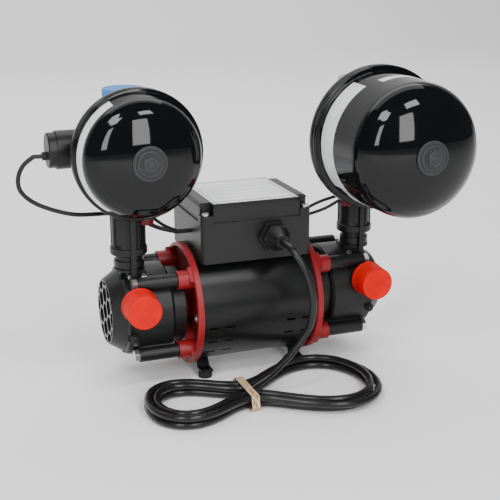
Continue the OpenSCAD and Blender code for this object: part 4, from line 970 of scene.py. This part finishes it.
# Drain plugs in millimetres: the radius and height of each six-sided ring, and their place
DRAIN_FORM = [(4.6, 0.0), (4.6, 2.0), (4.2, 2.4), (3.4, 2.5), (3.2, 4.2), (2.4, 4.6)]
DRAIN_X, DRAIN_Y, DRAIN_UP = 126, -43.4, SHAFT_UP - 15


class PUMP_OT_fittings(bpy.types.Operator):
    """Adds the drain plug under each inlet"""

    bl_idname = "pump.fittings"
    bl_label = "Drain plugs"

    def execute(self, context):
        for side, name in ((-1, "left"), (1, "right")):
            nub = turned(DRAIN_FORM, 6)
            settle(nub, at(side * DRAIN_X, DRAIN_Y, DRAIN_UP), FORWARD)
            smooth(nub, 30)
            finished(nub, f"drain_plug_{name}", "moulded_black", "pump")
        return {"FINISHED"}


class PUMP_OT_finishes(bpy.types.Operator):
    """Makes every finish and gives each carried-over part its own"""

    bl_idname = "pump.finishes"
    bl_label = "Finishes"

    def execute(self, context):
        colours = context.scene.pump_colours
        make_paints(colours)
        make_mouldings(colours)
        make_metals()
        make_labels(colours)
        for finish, names in NODE_FINISH.items():
            for name in names:
                materials = NODES[name].data.materials
                for index in range(max(len(materials), 1)):
                    if index < len(materials):
                        materials[index] = Finish.made[finish].material
                    else:
                        materials.append(Finish.made[finish].material)
        left = set(NODES) - {name for names in NODE_FINISH.values() for name in names}
        if left:
            raise RuntimeError(f"these parts have no finish: {sorted(left)}")
        return {"FINISHED"}


# Studio in metres: the floor turns up into a wall behind the pump. Each lamp has its place, its aim,
# its width and height, its watts and the strength that scales them
FLOOR_SIDE, FLOOR_BACK, SWEEP, SWEEP_STEPS, WALL = 18, 2.6, 1.2, 12, 3.5
LAMPS = [
    ("Box upper left", (-1.1, -1.2, 1.95), (0, 0, 0.2), 0.56, 0.52, 20, "key"),
    ("Box upper right", (0.42, -1.35, 2.1), (0, 0, 0.2), 0.66, 0.56, 25, "key"),
    ("Box tall left", (-1.35, -1.55, 0.95), (0, 0, 0.2), 0.42, 1.05, 21, "key"),
    ("Box tall right", (0.12, -1.9, 1.0), (0, 0, 0.2), 0.6, 1.15, 30, "key"),
    ("Overhead", (0.0, 0.9, 2.1), (0, 0.35, 0), 2.6, 1.6, 62, "top"),
    ("Backdrop wash", (0.0, 1.5, 2.6), (0, 3.4, 0.6), 4.2, 1.2, 150, "top"),
]


class PUMP_OT_stage(bpy.types.Operator):
    """Lays the pale floor and hangs the softboxes"""

    bl_idname = "pump.stage"
    bl_label = "Stage"

    def execute(self, context):
        light = context.scene.pump_light
        floor = self.floor()
        self.paper(floor, light)
        self.lamps(context, light)
        self.room(context, light)
        return {"FINISHED"}

    def floor(self):
        """A plane that curves up into a wall at its back"""
        clear_selection()
        bpy.ops.mesh.primitive_plane_add(size=1, location=(0, 0, 0))
        floor = bpy.context.object
        floor.name = "Floor"
        floor.scale = (FLOOR_SIDE, FLOOR_SIDE, 1)
        floor.location = FORWARD
        bpy.ops.object.transform_apply(location=True, rotation=True, scale=True)
        bpy.ops.object.mode_set(mode="EDIT")
        bpy.ops.mesh.select_all(action="SELECT")
        bpy.ops.mesh.bisect(plane_co=(0, FLOOR_BACK, 0), plane_no=(0, 1, 0), clear_outer=True)
        bpy.ops.mesh.select_all(action="DESELECT")
        bpy.ops.object.mode_set(mode="OBJECT")
        points = floor.data.vertices
        for edge in floor.data.edges:
            edge.select = all(points[v].co.y > FLOOR_BACK - MM for v in edge.vertices)
        bpy.ops.object.mode_set(mode="EDIT")
        bpy.ops.mesh.select_mode(type="EDGE")
        turns = [math.pi / 2 * i / SWEEP_STEPS for i in range(SWEEP_STEPS + 1)]
        for a, b in zip(turns, turns[1:]):
            move = (0, SWEEP * (math.sin(b) - math.sin(a)), SWEEP * (math.cos(a) - math.cos(b)))
            bpy.ops.mesh.extrude_edges_move(TRANSFORM_OT_translate={"value": move})
        bpy.ops.mesh.extrude_edges_move(TRANSFORM_OT_translate={"value": (0, 0, WALL)})
        bpy.ops.mesh.select_mode(type="VERT")
        bpy.ops.object.mode_set(mode="OBJECT")
        smooth(floor, 60)
        return floor

    def paper(self, floor, light):
        """Pale paper for the floor"""
        paper = Finish("studio_floor")
        cloud = paper.noise(1.5, 2.0)
        paper.set("Base Color", paper.mix(cloud, shade(light.floor, 0.99), light.floor))
        paper.set("Roughness", 0.78 + cloud * 0.04)
        paper.set("Specular IOR Level", 0.2)
        wear(floor, "studio_floor")

    def lamps(self, context, light):
        """Two boxes from above and two tall boxes in front, a wide light overhead and a wash on the wall"""
        for name, place, aim, wide, high, watts, level in LAMPS:
            lamp = bpy.data.lights.new(name, "AREA")
            lamp.shape, lamp.size, lamp.size_y = "RECTANGLE", wide, high
            lamp.energy = watts * getattr(light, level)
            holder = bpy.data.objects.new(name, lamp)
            context.scene.collection.objects.link(holder)
            holder.location = place
            holder.rotation_euler = (Vector(aim) - Vector(place)).to_track_quat("-Z", "Y").to_euler()

    def room(self, context, light):
        """A pale room that lights the pump, and dim where gloss shows it"""
        world = bpy.data.worlds.new("Studio")
        context.scene.world = world
        world.use_nodes = True
        nodes, links = world.node_tree.nodes, world.node_tree.links
        nodes["Background"].inputs["Color"].default_value = (1, 1, 1, 1)
        rays, level = nodes.new("ShaderNodeLightPath"), nodes.new("ShaderNodeMapRange")
        level.inputs["To Min"].default_value = light.room
        level.inputs["To Max"].default_value = light.dim
        links.new(rays.outputs["Is Glossy Ray"], level.inputs["Value"])
        links.new(level.outputs["Result"], nodes["Background"].inputs["Strength"])


STEPS = [PUMP_OT_camera, PUMP_OT_finishes, PUMP_OT_leads, PUMP_OT_vessels, PUMP_OT_caps, PUMP_OT_fittings,
         PUMP_OT_stage]


class PUMP_PT_pieces(bpy.types.Panel):
    """Lists the pieces, sizes, colours and lights of the pump"""

    bl_idname = "PUMP_PT_pieces"
    bl_label = "Shower pump"
    bl_space_type = "VIEW_3D"
    bl_region_type = "UI"
    bl_category = "Pump"

    def draw(self, context):
        for step in STEPS:
            self.layout.operator(step.bl_idname)
        for group in (context.scene.pump_sizes, context.scene.pump_colours, context.scene.pump_light):
            for name in group.__annotations__:
                self.layout.prop(group, name)


CLASSES = [PumpSizes, PumpColours, PumpLight, *STEPS, PUMP_PT_pieces]


def register():
    """Registers the add-on and its settings"""
    for each in CLASSES:
        bpy.utils.register_class(each)
    bpy.types.Scene.pump_sizes = PointerProperty(type=PumpSizes)
    bpy.types.Scene.pump_colours = PointerProperty(type=PumpColours)
    bpy.types.Scene.pump_light = PointerProperty(type=PumpLight)


def unregister():
    """Takes the add-on and its settings away again"""
    del bpy.types.Scene.pump_sizes, bpy.types.Scene.pump_colours, bpy.types.Scene.pump_light
    for each in reversed(CLASSES):
        bpy.utils.unregister_class(each)


def main():
    """Dresses the pump step by step"""
    register()
    for step in STEPS:
        group, name = step.bl_idname.split(".")
        getattr(getattr(bpy.ops, group), name)()
    bpy.context.view_layer.update()


if __name__ == "__main__":
    main()
